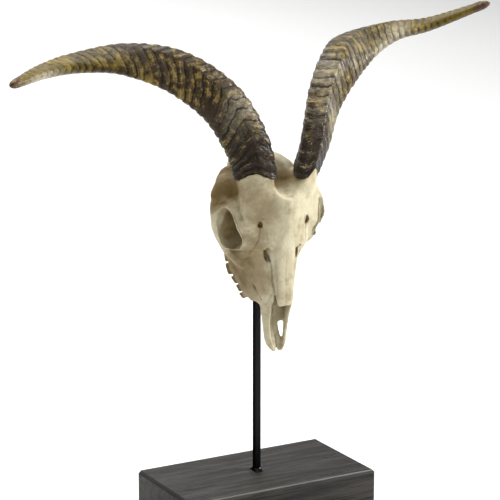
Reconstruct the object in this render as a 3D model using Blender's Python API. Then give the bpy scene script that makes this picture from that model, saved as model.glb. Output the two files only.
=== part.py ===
"""A billy goat's skull with its horns, on a black rod in a black wooden block.

Driving sizes are in millimetres and the scene is in metres.  +Z is up, the skull faces -Y, and
the origin is the middle of the block's underside.  Skull sizes are given in the skull's own
frame: x across, "along" from the tip of the snout back along the palate, and "rise" from the
palate up towards the forehead.
"""

import math

import bmesh
import bpy
import numpy as np
from mathutils import Matrix, Vector

MM = 0.001
GAP = 0.3  # clear space between two nodes that touch

BLOCK_LENGTH, BLOCK_DEPTH, BLOCK_HEIGHT = 217.0, 121.0, 50.0
BLOCK_CHAMFER = 3.0
MORTISE_LENGTH, MORTISE_WIDTH, MORTISE_DEEP = 15.0, 9.0, 6.0
ROD_SIDE = 6.35
ROD_TOP = 326.0
BEAD_REACH, BEAD_HEIGHT = 4.0, 3.0

SNOUT_TIP = Vector((0.0, -40.4, 188.4))
SKULL_LEAN = math.radians(23.0)
ALONG = Vector((0.0, math.sin(SKULL_LEAN), math.cos(SKULL_LEAN)))
RISE = Vector((0.0, -math.cos(SKULL_LEAN), math.sin(SKULL_LEAN)))
SIDES = (-1, 1)
SIDE_NAMES = {-1: "right", 1: "left"}  # the animal's right is at -X

CRANIUM_FACES, MAXILLA_FACES = 5000, 1900  # before the cuts that fit the neighbours
BONE_VOXEL, BONE_SMOOTHING = 1.5, 12

BONE = ("bone_ivory", (0.72, 0.66, 0.52, 1.0), 0.55, 0.0)
HORN = ("horn_brown", (0.10, 0.07, 0.035, 1.0), 0.35, 0.0)
BLACK_WOOD = ("wood_black", (0.02, 0.02, 0.02, 1.0), 0.4, 0.0)
BLACK_STEEL = ("steel_black", (0.015, 0.015, 0.016, 1.0), 0.45, 1.0)
BEAD_STEEL = ("bead_black", (0.05, 0.05, 0.05, 1.0), 0.25, 1.0)


# Scene and mesh helpers


def clear_scene():
    for obj in list(bpy.data.objects):
        bpy.data.objects.remove(obj, do_unlink=True)


def make_material(finish):
    name, colour, roughness, metallic = finish
    material = bpy.data.materials.get(name) or bpy.data.materials.new(name)
    material.use_nodes = True
    shader = material.node_tree.nodes["Principled BSDF"]
    shader.inputs["Base Color"].default_value = colour
    shader.inputs["Roughness"].default_value = roughness
    shader.inputs["Metallic"].default_value = metallic
    material.diffuse_color = colour
    return material


def add_object(name, bm, finish=None):
    """A new object from a bmesh, faces pointing out, put in the scene."""
    bmesh.ops.recalc_face_normals(bm, faces=bm.faces)
    mesh = bpy.data.meshes.new(name)
    bm.to_mesh(mesh)
    bm.free()
    obj = bpy.data.objects.new(name, mesh)
    bpy.context.scene.collection.objects.link(obj)
    if finish:
        mesh.materials.append(make_material(finish))
    return obj


def apply_modifiers(obj):
    bpy.context.view_layer.update()
    graph = bpy.context.evaluated_depsgraph_get()
    mesh = bpy.data.meshes.new_from_object(obj.evaluated_get(graph))
    obj.modifiers.clear()
    obj.data = mesh


def keep_largest(obj):
    """Keeps the closed surface that fills the biggest box."""
    bm = bmesh.new()
    bm.from_mesh(obj.data)
    left = set(bm.verts)
    shells = []
    while left:
        seed = left.pop()
        shell, edge_of = {seed}, [seed]
        while edge_of:
            for edge in edge_of.pop().link_edges:
                for vert in edge.verts:
                    if vert not in shell:
                        shell.add(vert)
                        edge_of.append(vert)
        left -= shell
        shells.append(shell)

    def span(shell):
        points = np.array([v.co for v in shell])
        return float(np.prod(np.ptp(points, axis=0)))

    shells.sort(key=span)
    scraps = [v for shell in shells[:-1] for v in shell]
    bmesh.ops.delete(bm, geom=scraps, context="VERTS")
    bm.to_mesh(obj.data)
    bm.free()


def combine(obj, others, operation, solver="EXACT"):
    """One Boolean of obj with a collection of closed meshes, applied, and the others removed."""
    group = bpy.data.collections.new(obj.name + "_" + operation.lower())
    bpy.context.scene.collection.children.link(group)
    for other in others:
        bpy.context.scene.collection.objects.unlink(other)
        group.objects.link(other)
    boolean = obj.modifiers.new(operation.title(), "BOOLEAN")
    boolean.operand_type = "COLLECTION"
    boolean.collection = group
    boolean.operation = operation
    boolean.solver = solver
    apply_modifiers(obj)
    for other in others:
        bpy.data.objects.remove(other, do_unlink=True)
    bpy.data.collections.remove(group)


def resurface(obj, voxel, smoothing):
    """Runs the joined pieces into one skin, with softened joins."""
    remesh = obj.modifiers.new("Remesh", "REMESH")
    remesh.mode = "VOXEL"
    remesh.voxel_size = voxel * MM
    smooth = obj.modifiers.new("Smooth", "SMOOTH")
    smooth.factor = 0.5
    smooth.iterations = smoothing
    apply_modifiers(obj)
    keep_largest(obj)


def thin_out(obj, faces):
    """Takes the mesh down to about this many triangles."""
    now = sum(len(p.vertices) - 2 for p in obj.data.polygons)
    if now > faces:
        decimate = obj.modifiers.new("Decimate", "DECIMATE")
        decimate.ratio = faces / now
        apply_modifiers(obj)


def finish_part(obj, name, finish):
    keep_largest(obj)
    obj.name = name
    obj.data.name = name
    obj.data.materials.clear()
    obj.data.materials.append(make_material(finish))
    obj.data.shade_smooth()
    obj.data.set_sharp_from_angle(angle=math.radians(40.0))
    return obj


# Shapes


def skull_point(x, along, rise):
    return (SNOUT_TIP + Vector((x, 0.0, 0.0)) + ALONG * along + RISE * rise) * MM


def smooth_path(points, count, closed=False):
    """Points read evenly from a Catmull-Rom curve through these ones, in any number of columns."""
    points = np.asarray(points, float)
    if closed:
        ends = np.vstack([points[-1:], points, points[:2]])
    else:
        ends = np.vstack([2 * points[0] - points[1], points, 2 * points[-1] - points[-2]])
    spans = len(ends) - 3
    found = []
    for t in np.linspace(0.0, spans, count, endpoint=not closed):
        i = min(int(t), spans - 1)
        u = t - i
        a, b, c, d = ends[i : i + 4]
        found.append(
            0.5 * (2 * b + (c - a) * u + (2 * a - 5 * b + 4 * c - d) * u**2 + (3 * (b - c) + d - a) * u**3)
        )
    return np.array(found)


def fan_cap(bm, row):
    """Closes a ring of points with triangles round its middle."""
    hub = bm.verts.new(sum((v.co for v in row), Vector()) / len(row))
    for first, second in zip(row, row[1:] + row[:1]):
        bm.faces.new((first, second, hub))


def loft(rings, closed=False, name="loft"):
    """A closed solid through rings of the same number of points."""
    bm = bmesh.new()
    rows = [[bm.verts.new(p) for p in ring] for ring in rings]
    pairs = list(zip(rows, rows[1:]))
    if closed:
        pairs.append((rows[-1], rows[0]))
    for low, high in pairs:
        for i in range(len(low)):
            j = (i + 1) % len(low)
            bm.faces.new((low[i], low[j], high[j], high[i]))
    if not closed:
        fan_cap(bm, rows[0])
        fan_cap(bm, rows[-1])
    return add_object(name, bm)


def tube(points, radii, count=14, sides=10, closed=False, name="tube"):
    """A round bar along a smooth path of skull points, with a radius at each."""
    table = np.column_stack([np.asarray(points, float), np.asarray(radii, float)])
    path = smooth_path(table, count, closed)
    centres = [skull_point(*row[:3]) for row in path]
    rings = []
    for i, centre in enumerate(centres):
        after = centres[(i + 1) % count] if closed or i < count - 1 else centre
        before = centres[i - 1] if closed or i else centre
        way = (after - before).normalized()
        first = way.cross(Vector((0.31, 0.52, 0.79))).normalized()
        second = way.cross(first)
        radius = path[i][3] * MM
        rings.append(
            [
                centre + (first * math.cos(a) + second * math.sin(a)) * radius
                for a in np.linspace(0.0, 2 * math.pi, sides, endpoint=False)
            ]
        )
    return loft(rings, closed, name)


def egg(centre, radii, turn=(0.0, 0.0, 0.0), segments=20, rings=12, name="egg"):
    """An ellipsoid with its radii across, along and up the skull, turned by degrees."""
    bm = bmesh.new()
    bmesh.ops.create_uvsphere(bm, u_segments=segments, v_segments=rings, radius=1.0)
    frame = Matrix(((1, 0, 0), ALONG, RISE)).transposed().to_4x4()
    spin = Matrix.Identity(4)
    for axis, degrees in zip("XYZ", turn):
        spin = spin @ Matrix.Rotation(math.radians(degrees), 4, axis)
    scale = Matrix.Diagonal((*[r * MM for r in radii], 1.0))
    bm.transform(Matrix.Translation(skull_point(*centre)) @ frame @ spin @ scale)
    return add_object(name, bm)


def section(along, top, bottom, half_top, half_bottom, power=0.7, points=20, middle=0.0):
    """A rounded trapezoid across the skull, as one ring of points."""
    ring = []
    centre, half = (top + bottom) / 2, (top - bottom) / 2
    for angle in np.linspace(0.0, 2 * math.pi, points, endpoint=False):
        c, s = math.cos(angle), math.sin(angle)
        u = math.copysign(abs(c) ** power, c)
        v = math.copysign(abs(s) ** power, s)
        width = half_bottom + (half_top - half_bottom) * (v + 1) / 2
        ring.append(skull_point(middle + u * width, along, centre + v * half))
    return ring


def box(low, high, name="box"):
    bm = bmesh.new()
    bmesh.ops.create_cube(bm, size=1.0)
    low, high = Vector(low) * MM, Vector(high) * MM
    bm.transform(Matrix.Translation((low + high) / 2) @ Matrix.Diagonal((*(high - low), 1.0)))
    return add_object(name, bm)


def slab(outline, half_width=90.0, name="slab"):
    """A prism right across the skull, from an outline of (along, rise) points."""
    return loft([[skull_point(x, *p) for p in outline] for x in (-half_width, half_width)], name=name)


# The stand


def make_block():
    bm = bmesh.new()
    bmesh.ops.create_cube(bm, size=1.0)
    size = Matrix.Diagonal((BLOCK_LENGTH * MM, BLOCK_DEPTH * MM, BLOCK_HEIGHT * MM, 1.0))
    bm.transform(Matrix.Translation((0, 0, BLOCK_HEIGHT * MM / 2)) @ size)
    upper = [e for e in bm.edges if max(v.co.z for v in e.verts) > BLOCK_HEIGHT * MM * 0.9]
    bmesh.ops.bevel(bm, geom=upper, offset=BLOCK_CHAMFER * MM, segments=1, affect="EDGES")
    block = add_object("stand_base", bm, BLACK_WOOD)
    half_w, half_l = MORTISE_WIDTH / 2, MORTISE_LENGTH / 2
    floor = BLOCK_HEIGHT - MORTISE_DEEP
    combine(block, [box((-half_w, -half_l, floor), (half_w, half_l, BLOCK_HEIGHT + 5))], "DIFFERENCE")
    return block


def make_rod():
    half = ROD_SIDE / 2
    rod = box((-half, -half, BLOCK_HEIGHT - MORTISE_DEEP + GAP), (half, half, ROD_TOP), "stand_rod")
    rod.data.materials.append(make_material(BLACK_STEEL))
    return rod


def make_bead():
    """The bead of filler round the rod's foot: it fills the mortise and stands up as a low collar."""
    half_w, half_l = MORTISE_WIDTH / 2 - GAP, MORTISE_LENGTH / 2 - GAP
    floor = BLOCK_HEIGHT - MORTISE_DEEP + GAP
    inner = ROD_SIDE / 2
    levels = (
        (floor, half_w, half_l),
        (BLOCK_HEIGHT, half_w, half_l),
        (BLOCK_HEIGHT + BEAD_HEIGHT * 0.4, inner + BEAD_REACH * 0.34, inner + BEAD_REACH * 0.7),
        (BLOCK_HEIGHT + BEAD_HEIGHT, inner + 0.9, inner + 0.9),
    )
    rings = [
        [Vector((sx * w, sy * l, z)) * MM for sx, sy in ((-1, -1), (1, -1), (1, 1), (-1, 1))]
        for z, w, l in levels
    ]
    bead = loft(rings, name="stand_foot")
    hole = inner + GAP
    combine(bead, [box((-hole, -hole, 0), (hole, hole, BLOCK_HEIGHT + 20))], "DIFFERENCE")
    return finish_part(bead, "stand_foot", BEAD_STEEL)


# The horns

# Each station: out, back and up from the block's middle; half the width across the front face;
# the reach of the ridge in front and of the back; then where the front face looks, as degrees
# turned outwards and upwards.
HORN_STATIONS = (
    (28, -48, 373, 22.5, 13.0, 11.0, 40, 0),
    (39, -41, 402, 22.5, 12.0, 10.5, 30, 6),
    (61, -25, 440, 23.0, 12.5, 10.5, 22, 12),
    (95, -6, 470, 23.0, 13.0, 10.5, 12, 32),
    (135, 17, 483, 22.0, 11.5, 9.5, 8, 60),
    (180, 27, 488, 16.5, 9.0, 8.0, 5, 76),
    (222, 18, 489, 10.0, 7.0, 6.3, 0, 82),
    (265, -7, 496, 5.0, 4.6, 4.2, 0, 84),
)
# How far the right horn's stations stand out, back and up from the even pair's; the left's are
# the other way.
HORN_UNEVEN = (
    (0, 0, 1),
    (-5, 0, 0),
    (-5, -4, 3),
    (0, -3, 4),
    (5, -4, 3),
    (4, -2, -4),
    (2, -4, -9),
    (-3, -2, -22),
)
HORN_POINTS = 14  # round the horn
RING_PITCH_BASE, RING_PITCH_TIP = 12.5, 6.5
RING_HEIGHT = 1.1
CHEVRON_DROP = 0.62  # how far a ring falls back towards the base, of its distance from the ridge
RIDGE_SHIFT = 0.34  # the ridge's place on the front face, of its half width, towards the middle
HORN_TIP_REACH = 9.0
BASE_DIP = {-1: 11.0, 1: 16.0}  # how far each horn's open end drops at its inner edge
BASE_ARCH = {-1: 3.0, 1: 7.0}  # how far the middle of that end rises above its corners
BASE_ARCH_MIDDLE, BASE_ARCH_HALF = 0.05, 0.7
DIP_FADE, CHEVRON_FADE = 45.0, 30.0  # lengths over which the dip dies out and the chevrons grow
PEDICLE_ROOT = Vector((22.0, 118.0, 56.0))  # in the skull's frame, buried under the forehead
PEDICLE_ROOT_HALF, PEDICLE_ROOT_REACH = 19.0, 11.0


def horn_table(side):
    uneven = 1 if side < 0 else -1
    return [
        tuple(s + uneven * u for s, u in zip(row[:3], shift)) + row[3:]
        for row, shift in zip(HORN_STATIONS, HORN_UNEVEN)
    ]


def horn_spine(side, count=240):
    """Arc lengths along the horn, and the interpolated stations at them."""
    path = smooth_path(horn_table(side), count)
    steps = np.linalg.norm(np.diff(path[:, :3], axis=0), axis=1)
    return np.concatenate([[0.0], np.cumsum(steps)]), path


def horn_frame(side, lengths, path, at):
    """Centre, direction along, across (to the middle of the head) and facing, and the sizes."""
    at = min(max(at, 0.0), lengths[-1])
    row = [float(np.interp(at, lengths, column)) for column in path.T]
    near = [float(np.interp(at + 1.0, lengths, column)) for column in path.T[:3]]
    far = [float(np.interp(at - 1.0, lengths, column)) for column in path.T[:3]]
    way = Vector((np.array(near) - np.array(far)) * (side, 1, 1)).normalized()
    out, up = math.radians(row[6]), math.radians(row[7])
    face = Vector((side * math.sin(out) * math.cos(up), -math.cos(out) * math.cos(up), math.sin(up)))
    face = (face - way * face.dot(way)).normalized()
    across = way.cross(face).normalized() * -side
    return Vector((side * row[0], row[1], row[2])), way, across, face, row[3:6]


def ring_levels(total):
    """Arc lengths and heights of the horn's rows: a groove, then the swell of each ring."""
    levels = [(0.0, 0.0)]
    at = 6.0
    while at < total - 4.0:
        share = at / total
        pitch = RING_PITCH_BASE + (RING_PITCH_TIP - RING_PITCH_BASE) * share
        height = RING_HEIGHT * (1.0 - 0.75 * share)
        levels.append((at, -0.6 * height))
        levels.append((at + pitch * 0.45, height))
        at += pitch
    return [level for level in levels if level[0] < total - 2.0]


def base_dip(side, u, at):
    """How far the horn's rows hang down at u, from -1 at the outer edge to 1 at the inner one."""
    dip = BASE_DIP[side] * max(0.0, (u - 0.1) / 0.9)
    arch = BASE_ARCH[side] * max(0.0, 1.0 - ((u - BASE_ARCH_MIDDLE) / BASE_ARCH_HALF) ** 2)
    return Vector((0, 0, (dip - arch) * max(0.0, 1.0 - at / DIP_FADE)))


def horn_angles(count=HORN_POINTS):
    return [(math.cos(a), math.sin(a)) for a in np.linspace(0.0, 2 * math.pi, count, endpoint=False)]


def base_ring(side, above, grow=0.0, scale=1.0):
    """The horn's open end, moved up along the horn and grown by a distance or scaled."""
    lengths, path = horn_spine(side)
    centre, way, across, face, (wide, front, back) = horn_frame(side, lengths, path, 0.0)
    ring = []
    for u, v in horn_angles():
        deep = front * ridge_depth(u) if v > 0 else back
        reach = across * u * (wide * scale + grow) + face * v * (deep * scale + grow)
        ring.append((centre + way * above + reach - base_dip(side, u, 0.0)) * MM)
    return ring


def ridge_depth(u):
    """How much deeper the front face stands near its ridge."""
    return 0.86 + 0.2 * max(0.0, 1.0 - abs(u - RIDGE_SHIFT) / 0.75)


def make_horn(side):
    lengths, path = horn_spine(side)
    total = lengths[-1]
    rings = []
    for at, height in ring_levels(total):
        ring = []
        fade = min(at / CHEVRON_FADE, 1.0) * min((total - at) / CHEVRON_FADE, 1.0)
        half = horn_frame(side, lengths, path, at)[4][0]
        for u, v in horn_angles():
            off_ridge = abs(u - RIDGE_SHIFT) * half
            place = at - CHEVRON_DROP * off_ridge * fade * (1.0 if v > 0 else 0.8)
            centre, _, across, face, (wide, front, back) = horn_frame(side, lengths, path, place)
            deep = front * ridge_depth(u) if v > 0 else back
            swell = 1.0 + height / wide
            reach = (across * u * wide + face * v * deep) * swell
            ring.append((centre + reach - base_dip(side, u, at)) * MM)
        rings.append(ring)
    centre, way, across, face, sizes = horn_frame(side, lengths, path, total)
    for push, scale in ((0.3, 0.86), (0.75, 0.6), (1.0, 0.25)):
        end = centre + way * HORN_TIP_REACH * push
        radius = sizes[1] * scale
        rings.append([(end + (across * u + face * v) * radius) * MM for u, v in horn_angles()])
    return finish_part(loft(rings), "horn_" + SIDE_NAMES[side], HORN)


def pedicle(side):
    """The bony root under a horn: it runs from under the forehead up past the horn's open end."""
    top = base_ring(side, 0.0, scale=0.99)
    root = []
    for u, v in horn_angles():
        x = side * (PEDICLE_ROOT.x - u * PEDICLE_ROOT_HALF)
        root.append(skull_point(x, PEDICLE_ROOT.y, PEDICLE_ROOT.z + v * PEDICLE_ROOT_REACH))
    rings = [[low.lerp(high, share) for low, high in zip(root, top)] for share in (0.0, 0.35, 0.7, 1.0)]
    rings.append(base_ring(side, 8.0, scale=0.94))
    return loft(rings)


def horn_room(side):
    """The space a horn's root needs, with the gap under it."""
    return loft([base_ring(side, -GAP, GAP), base_ring(side, 12.0, 2.0), base_ring(side, 45.0, 4.0)])


# The bones

# Face: along, top, bottom, half width at the top and at the palate
FACE_SECTIONS = (
    (40, 33, 8, 12, 14),
    (45, 35.5, 7, 12.5, 16.5),
    (52, 39.5, 3, 13.5, 21.5),
    (62, 44.5, -2, 15, 28),
    (74, 50, -3, 16.5, 33.5),
    (86, 55.5, -4, 19, 37.5),
    (98, 58, -4, 24, 38.5),
    (112, 62, -3, 31, 37),
    (124, 62, 0, 34, 33),
    (134, 58, 8, 30, 24),
)
# Forehead: along, top, bottom, half width at the top and at the bottom
FOREHEAD_SECTIONS = (
    (92, 60, 34, 26, 26),
    (104, 67.5, 26, 35, 35),
    (116, 76.5, 24, 39, 39),
    (128, 84.5, 24, 40, 40),
    (138, 88.5, 26, 40, 40),
    (146, 87, 28, 39, 39),
    (156, 78, 32, 38, 38),
    (168, 69, 38, 34, 34),
    (180, 60, 38, 28, 28),
)
FACE_FRONT = 44.3  # where the cheek and palate plates begin
PAST_SNOUT = -30.0
NASAL_SECTIONS = (
    (40, 37, 33, 6, 7.5),
    (46, 40.5, 35.5, 8, 10),
    (58, 45, 39, 8.5, 10.8),
    (72, 50.5, 43.5, 9, 11.3),
    (88, 58.5, 50, 9, 11.5),
    (102, 66.8, 57, 8, 10.5),
    (112, 72.5, 62, 5, 7),
)
# The eye's raised rim, each point with its radius: the same on both sides above, while below, the
# left one stands further forward and has a notch
RIM_ABOVE = (
    (39, 107, 46, 4.8),
    (40, 118, 47.5, 5.0),
    (43, 130, 48.5, 5.3),
    (47, 141, 49, 5.5),
    (52.5, 147.5, 46.5, 5.2),
    (57, 142.5, 43.5, 4.7),
)
RIM_BELOW = {
    -1: ((58.5, 132, 40, 4.4), (54, 121, 31, 4.4), (46, 111, 21.5, 4.4), (39.5, 103.5, 28, 4.2)),
    1: (
        (58, 131, 41.5, 4.7),
        (55, 123.5, 37.5, 4.6),
        (48, 118.5, 31.5, 2.8),
        (46.8, 113, 29.8, 4.2),
        (39.5, 107, 28.5, 4.0),
    ),
}
# The edge of the eye's opening, then how far each of its rings stands out and how wide it is
OPENING_ABOVE = ((52.5, 142.5, 43), (47, 139, 46), (44, 130.5, 46.5), (41.5, 121, 45), (38, 111, 45))
OPENING_BELOW = {
    -1: ((39, 104, 38.5), (44.5, 104, 27), (51.5, 112.5, 25), (58, 124.5, 35), (59.5, 136, 42)),
    1: ((39, 105.5, 40), (44.5, 107.5, 31), (52, 115.5, 33.8), (58.8, 126.5, 41), (59.5, 136, 43)),
}
BROW_HOLE = {-1: 2.5, 1: 3.3}  # half widths of the holes above the eyes
# The way out of the socket, then the way up from its floor
ORBIT_OPENS = Vector((0.71, -0.15, 0.69))
ORBIT_DEEPENS = Vector((0.86, -0.25, 0.32))
ORBIT_RINGS = ((22.0, 1.5), (8.0, 1.14), (0.0, 1.0), (-12.0, 0.9), (-21.0, 0.62), (-26.0, 0.25))
# Cheek teeth: where each begins, its length along the row and its width
TEETH = (
    (58, 7.0, 7.0),
    (65.5, 8.0, 8.5),
    (74, 9.0, 9.5),
    (84, 12.0, 11.0),
    (97, 14.0, 12.0),
    (112, 16.0, 11.5),
)
# The tooth row's outer edge, as (along, x)
TOOTH_ROW = (
    (54, 20),
    (61, 24.5),
    (68, 26.5),
    (76, 29.5),
    (82, 32),
    (89, 34.5),
    (101, 34.7),
    (112, 34),
    (128, 32),
)
GUM_RISE, BITE_RISE = 2.0, -6.0
TOOTH_OVERLAP = 0.4
# A crown's outline seen from the bite, with two lobes on its outer side
CROWN = ((-1, -0.8), (-0.45, -1), (0.0, -0.82), (0.45, -1), (1, -0.8), (1, 0.8), (0, 1), (-1, 0.8))
# The half section of a nasal bone, from its top round to its underside
NASAL_ROUND = ((0, 1), (0.35, 1), (0.7, 0.86), (0.95, 0.5), (1, 0), (0.9, -0.7), (0.55, -1), (0, -1))
# How far the skull's broad sides stand to its left, and from what width it begins and is full
SKEW, SKEW_FROM, SKEW_FULL = 1.6, 38.0, 54.0


def face_core():
    return loft([section(*row) for row in FACE_SECTIONS])


def forehead_core():
    return loft([section(*row, power=1.25) for row in FOREHEAD_SECTIONS])


def nasal_solid(side, grow=0.0):
    """One nasal bone, or with grow the space that it needs."""
    rings = []
    for along, top, bottom, half_top, half_bottom in NASAL_SECTIONS:
        inner = GAP / 2 - grow
        ring = []
        for u, v in NASAL_ROUND:
            half = half_bottom + (half_top - half_bottom) * max(v, 0.0)
            x = inner + u * (half + grow - inner)
            rise = (top + bottom) / 2 + v * ((top - bottom) / 2 + grow)
            ring.append(skull_point(side * x, along - (grow if along < 50 else -grow), rise))
        rings.append(ring)
    return loft(rings)


def orbit_ring(side):
    rim = RIM_ABOVE + RIM_BELOW[side]
    points = [(side * x, along, rise) for x, along, rise, _ in rim]
    return tube(points, [radius for *_, radius in rim], count=26, closed=True)


def orbit_room(side):
    """The hollow of an eye socket, through its opening and inwards."""
    edge = [(side * x, along, rise) for x, along, rise in OPENING_ABOVE + OPENING_BELOW[side]]
    edge = smooth_path(edge, 20, closed=True)
    middle = edge.mean(axis=0)
    rings = []
    for out, scale in ORBIT_RINGS:
        way = ORBIT_OPENS if out > 0 else ORBIT_DEEPENS
        place = middle + np.array((side * way.x, way.y, way.z)) * out
        rings.append([skull_point(*(place + (p - middle) * scale)) for p in edge])
    return loft(rings)


def cranium_pieces():
    """Closed solids that run together into everything behind the face."""
    pieces = [
        face_core(),
        egg((0, 164, 43), (36, 33, 33)),
        egg((0, 180, 32), (36, 15, 24)),
        tube([(0, 120, 16), (0, 150, 14), (0, 180, 8), (0, 198, 6)], (13, 12, 12, 11)),
        egg((0, 158, 60), (26, 32, 20)),
        tube(
            [(-38, 176, 24), (-35, 183, 36), (0, 189, 49), (35, 183, 36), (38, 176, 24)],
            (5, 4.5, 4, 4.5, 5),
            count=20,
        ),
    ]
    for side in SIDES:
        pieces += [
            egg((side * 42, 128, 38), (17, 25, 19)),
            egg((side * 28, 110, 30), (14, 20, 19)),
            orbit_ring(side),
            pedicle(side),
            egg((side * 24, 149, 57), (17, 22, 20)),
            egg((side * 38, 160, 37), (18, 20, 12)),
            egg((side * 44, 151, 39), (14, 13, 9)),
            egg((side * 30, 131, 28), (15, 18, 17)),
            tube(
                [
                    (side * 34, 178, 32),
                    (side * 44, 170, 32),
                    (side * 55, 160, 35),
                    (side * 60, 147, 37),
                    (side * 58, 128, 29),
                    (side * 46.5, 110, 19),
                    (side * 36, 98, 17),
                    (side * 24, 86, 22),
                ],
                (9, 6.5, 5, 4.5, 5, 5.5, 5.5, 6),
                count=22,
            ),
            egg((side * 12, 192, 12), (8.5, 8, 11)),
            egg((side * 21, 170, 2), (9, 13, 12)),
            tube([(side * 27, 178, 24), (side * 28, 180, 8), (side * 26, 179, -7)], (8, 6, 3)),
            tube([(side * 15, 122, 18), (side * 14, 132, 4), (side * 15, 140, -2)], (6, 3.5, 2.5)),
        ]
    return pieces


def lacrimal_gap(side):
    """The slot beside the nasal bone, where the face's plates do not meet."""
    return egg((side * 17.0, 90, 53), (3.0, 8.5, 9), turn=(0, 0, side * -8))


def saddle():
    """The hollow behind the forehead's crest, between the horns."""
    return egg((0, 164, 92), (15.5, 27, 24))


def rim_notch():
    """The notch in the lower rim of the left eye."""
    return egg((61.2, 112.0, 32), (7.5, 7.2, 24), turn=(0, -29, 0))


def cranium_cutters():
    cutters = [
        egg((0, 202, 15), (8, 16, 7)),
        egg((0, 128, 6), (11, 16, 9)),
        rim_notch(),
    ]
    for side in SIDES:
        cutters += [
            orbit_room(side),
            egg((side * 26.3, 119.5, 71), (BROW_HOLE[side], BROW_HOLE[side] * 1.4, 9)),
            tube(
                [(side * 26.0, 119, 70.5), (side * 24.5, 112, 66.5), (side * 22, 104, 61.5)],
                (1.6, 1.3, 0.9),
                count=8,
                sides=8,
            ),
            lacrimal_gap(side),
            tube([(side * 60, 171, 12), (side * 30, 174, 14)], (3.5, 3.0), count=4),
        ]
    return cutters


def tooth(side, begins, length, width):
    """One upper cheek tooth: a crown with a waist, its root sunk in the jaw."""
    rings = []
    middle = begins + length / 2
    outer = float(np.interp(middle, *zip(*TOOTH_ROW)))
    centre = side * (outer - width / 2)
    for rise, swell, lean in (
        (GUM_RISE + 6, 0.7, 4.5),
        (GUM_RISE, 0.85, 2.0),
        (-1.0, 1.0, 0.0),
        (BITE_RISE + 1.6, 0.98, 0.0),
        (BITE_RISE, 0.8, 0.0),
    ):
        ring = []
        for u, v in CROWN:
            x = centre - side * (v * width / 2 * swell + lean)
            ring.append(skull_point(x, middle + u * (length / 2 + TOOTH_OVERLAP) * swell, rise))
        rings.append(ring)
    return loft(rings)


def maxilla_pieces():
    pieces = [face_core()]
    for side in SIDES:
        pieces += [
            egg((side * 27, 108, 14), (11, 22, 16)),
            tube(
                [(side * 58, 128, 29), (side * 46.5, 110, 19), (side * 36, 98, 17), (side * 24, 86, 22)],
                (5, 5.5, 5.5, 6),
            ),
            tube(
                [
                    (side * 17, 54, 7),
                    (side * 24, 68, 3),
                    (side * 29, 81, 1),
                    (side * 32, 92, 0.5),
                    (side * 32, 112, 0.5),
                    (side * 28, 127, 4),
                ],
                (4.5, 5, 5, 5, 5, 5),
                count=16,
            ),
        ]
    return pieces


def maxilla_cutters():
    snout = loft(
        [
            section(20, 60, 9, 8.5, 7),
            section(44, 60, 10, 8.5, 10),
            section(60, 60, 8, 8.5, 12),
            section(78, 56, 14, 8, 11),
        ]
    )
    palate = loft(
        [
            section(30, 3, -20, 4, 8),
            section(52, 1, -20, 8, 14),
            section(70, 1, -20, 13, 20),
            section(100, 2, -20, 17, 23),
            section(140, 4, -20, 17, 23),
        ]
    )
    cutters = [snout, palate]
    for side in SIDES:
        cutters += [
            lacrimal_gap(side),
            egg((side * 24.5, 64, 20), (4.5, 5.0, 2.6), turn=(0, 0, side * 25)),
        ]
    return cutters


# Where the face ends and the cranium begins, as (along, rise) points
FACE_EDGE = ((84, 90), (96, 50), (105, 22), (131, 15), (131, -40))


def face_region(front=FACE_FRONT, grow=0.0):
    """All that lies ahead of the seam between face and cranium, grown by a distance."""
    edge = [(along + grow, rise + (grow if along > 100 and rise > 0 else 0.0)) for along, rise in FACE_EDGE]
    return slab([(front, 90), *edge, (front, -40)])


def socket(grow):
    half = ROD_SIDE / 2 + grow
    return box((-half, -half, BLOCK_HEIGHT + 60), (half, half, ROD_TOP + grow), "socket")


# Snout wall: along, then x and rise of the lower edge and of the upper edge, and its thickness
PREMAXILLA_SECTIONS = (
    (-0.5, 3.4, 0.3, 3.8, 3.0, 3.0),
    (3, 7.0, -0.6, 5.2, 5.0, 4.2),
    (8, 9.8, -0.6, 7.0, 7.0, 4.4),
    (15, 11.3, 0.5, 8.6, 9.5, 4.0),
    (23, 12.0, 2.8, 9.8, 14, 3.6),
    (31, 12.6, 5.5, 10.6, 19.5, 3.4),
    (38, 13.2, 8, 11, 26, 3.2),
    (44, 14.5, 10, 12.0, 31.0, 3.0),
    (52, 15.6, 12.5, 12.4, 34.5, 3.0),
)
PREMAXILLA_END = FACE_FRONT - GAP  # of its floor; the wall runs on into the cheek
RIGHT_PRONG_EXTRA = 0.9  # how much wider the right side's palate prong is, to each side


def premaxilla_wall(side, grow=0.0):
    rings = []
    for along, low_x, low_rise, high_x, high_rise, thick in PREMAXILLA_SECTIONS:
        low = np.array((low_x, low_rise))
        high = np.array((high_x, high_rise))
        way = (high - low) / np.linalg.norm(high - low)
        normal = np.array((way[1], -way[0]))
        middle, half = (low + high) / 2, np.linalg.norm(high - low) / 2 + grow
        ring = []
        for u, v in ((-1, 0), (-0.8, 0.8), (0, 1), (0.8, 0.8), (1, 0), (0.8, -0.8), (0, -1), (-0.8, -0.8)):
            x, rise = middle + way * half * u + normal * (thick / 2 + grow) * v
            ring.append(skull_point(side * max(x, GAP / 2), along + (grow if along > 50 else -grow), rise))
        rings.append(ring)
    return loft(rings)


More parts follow.
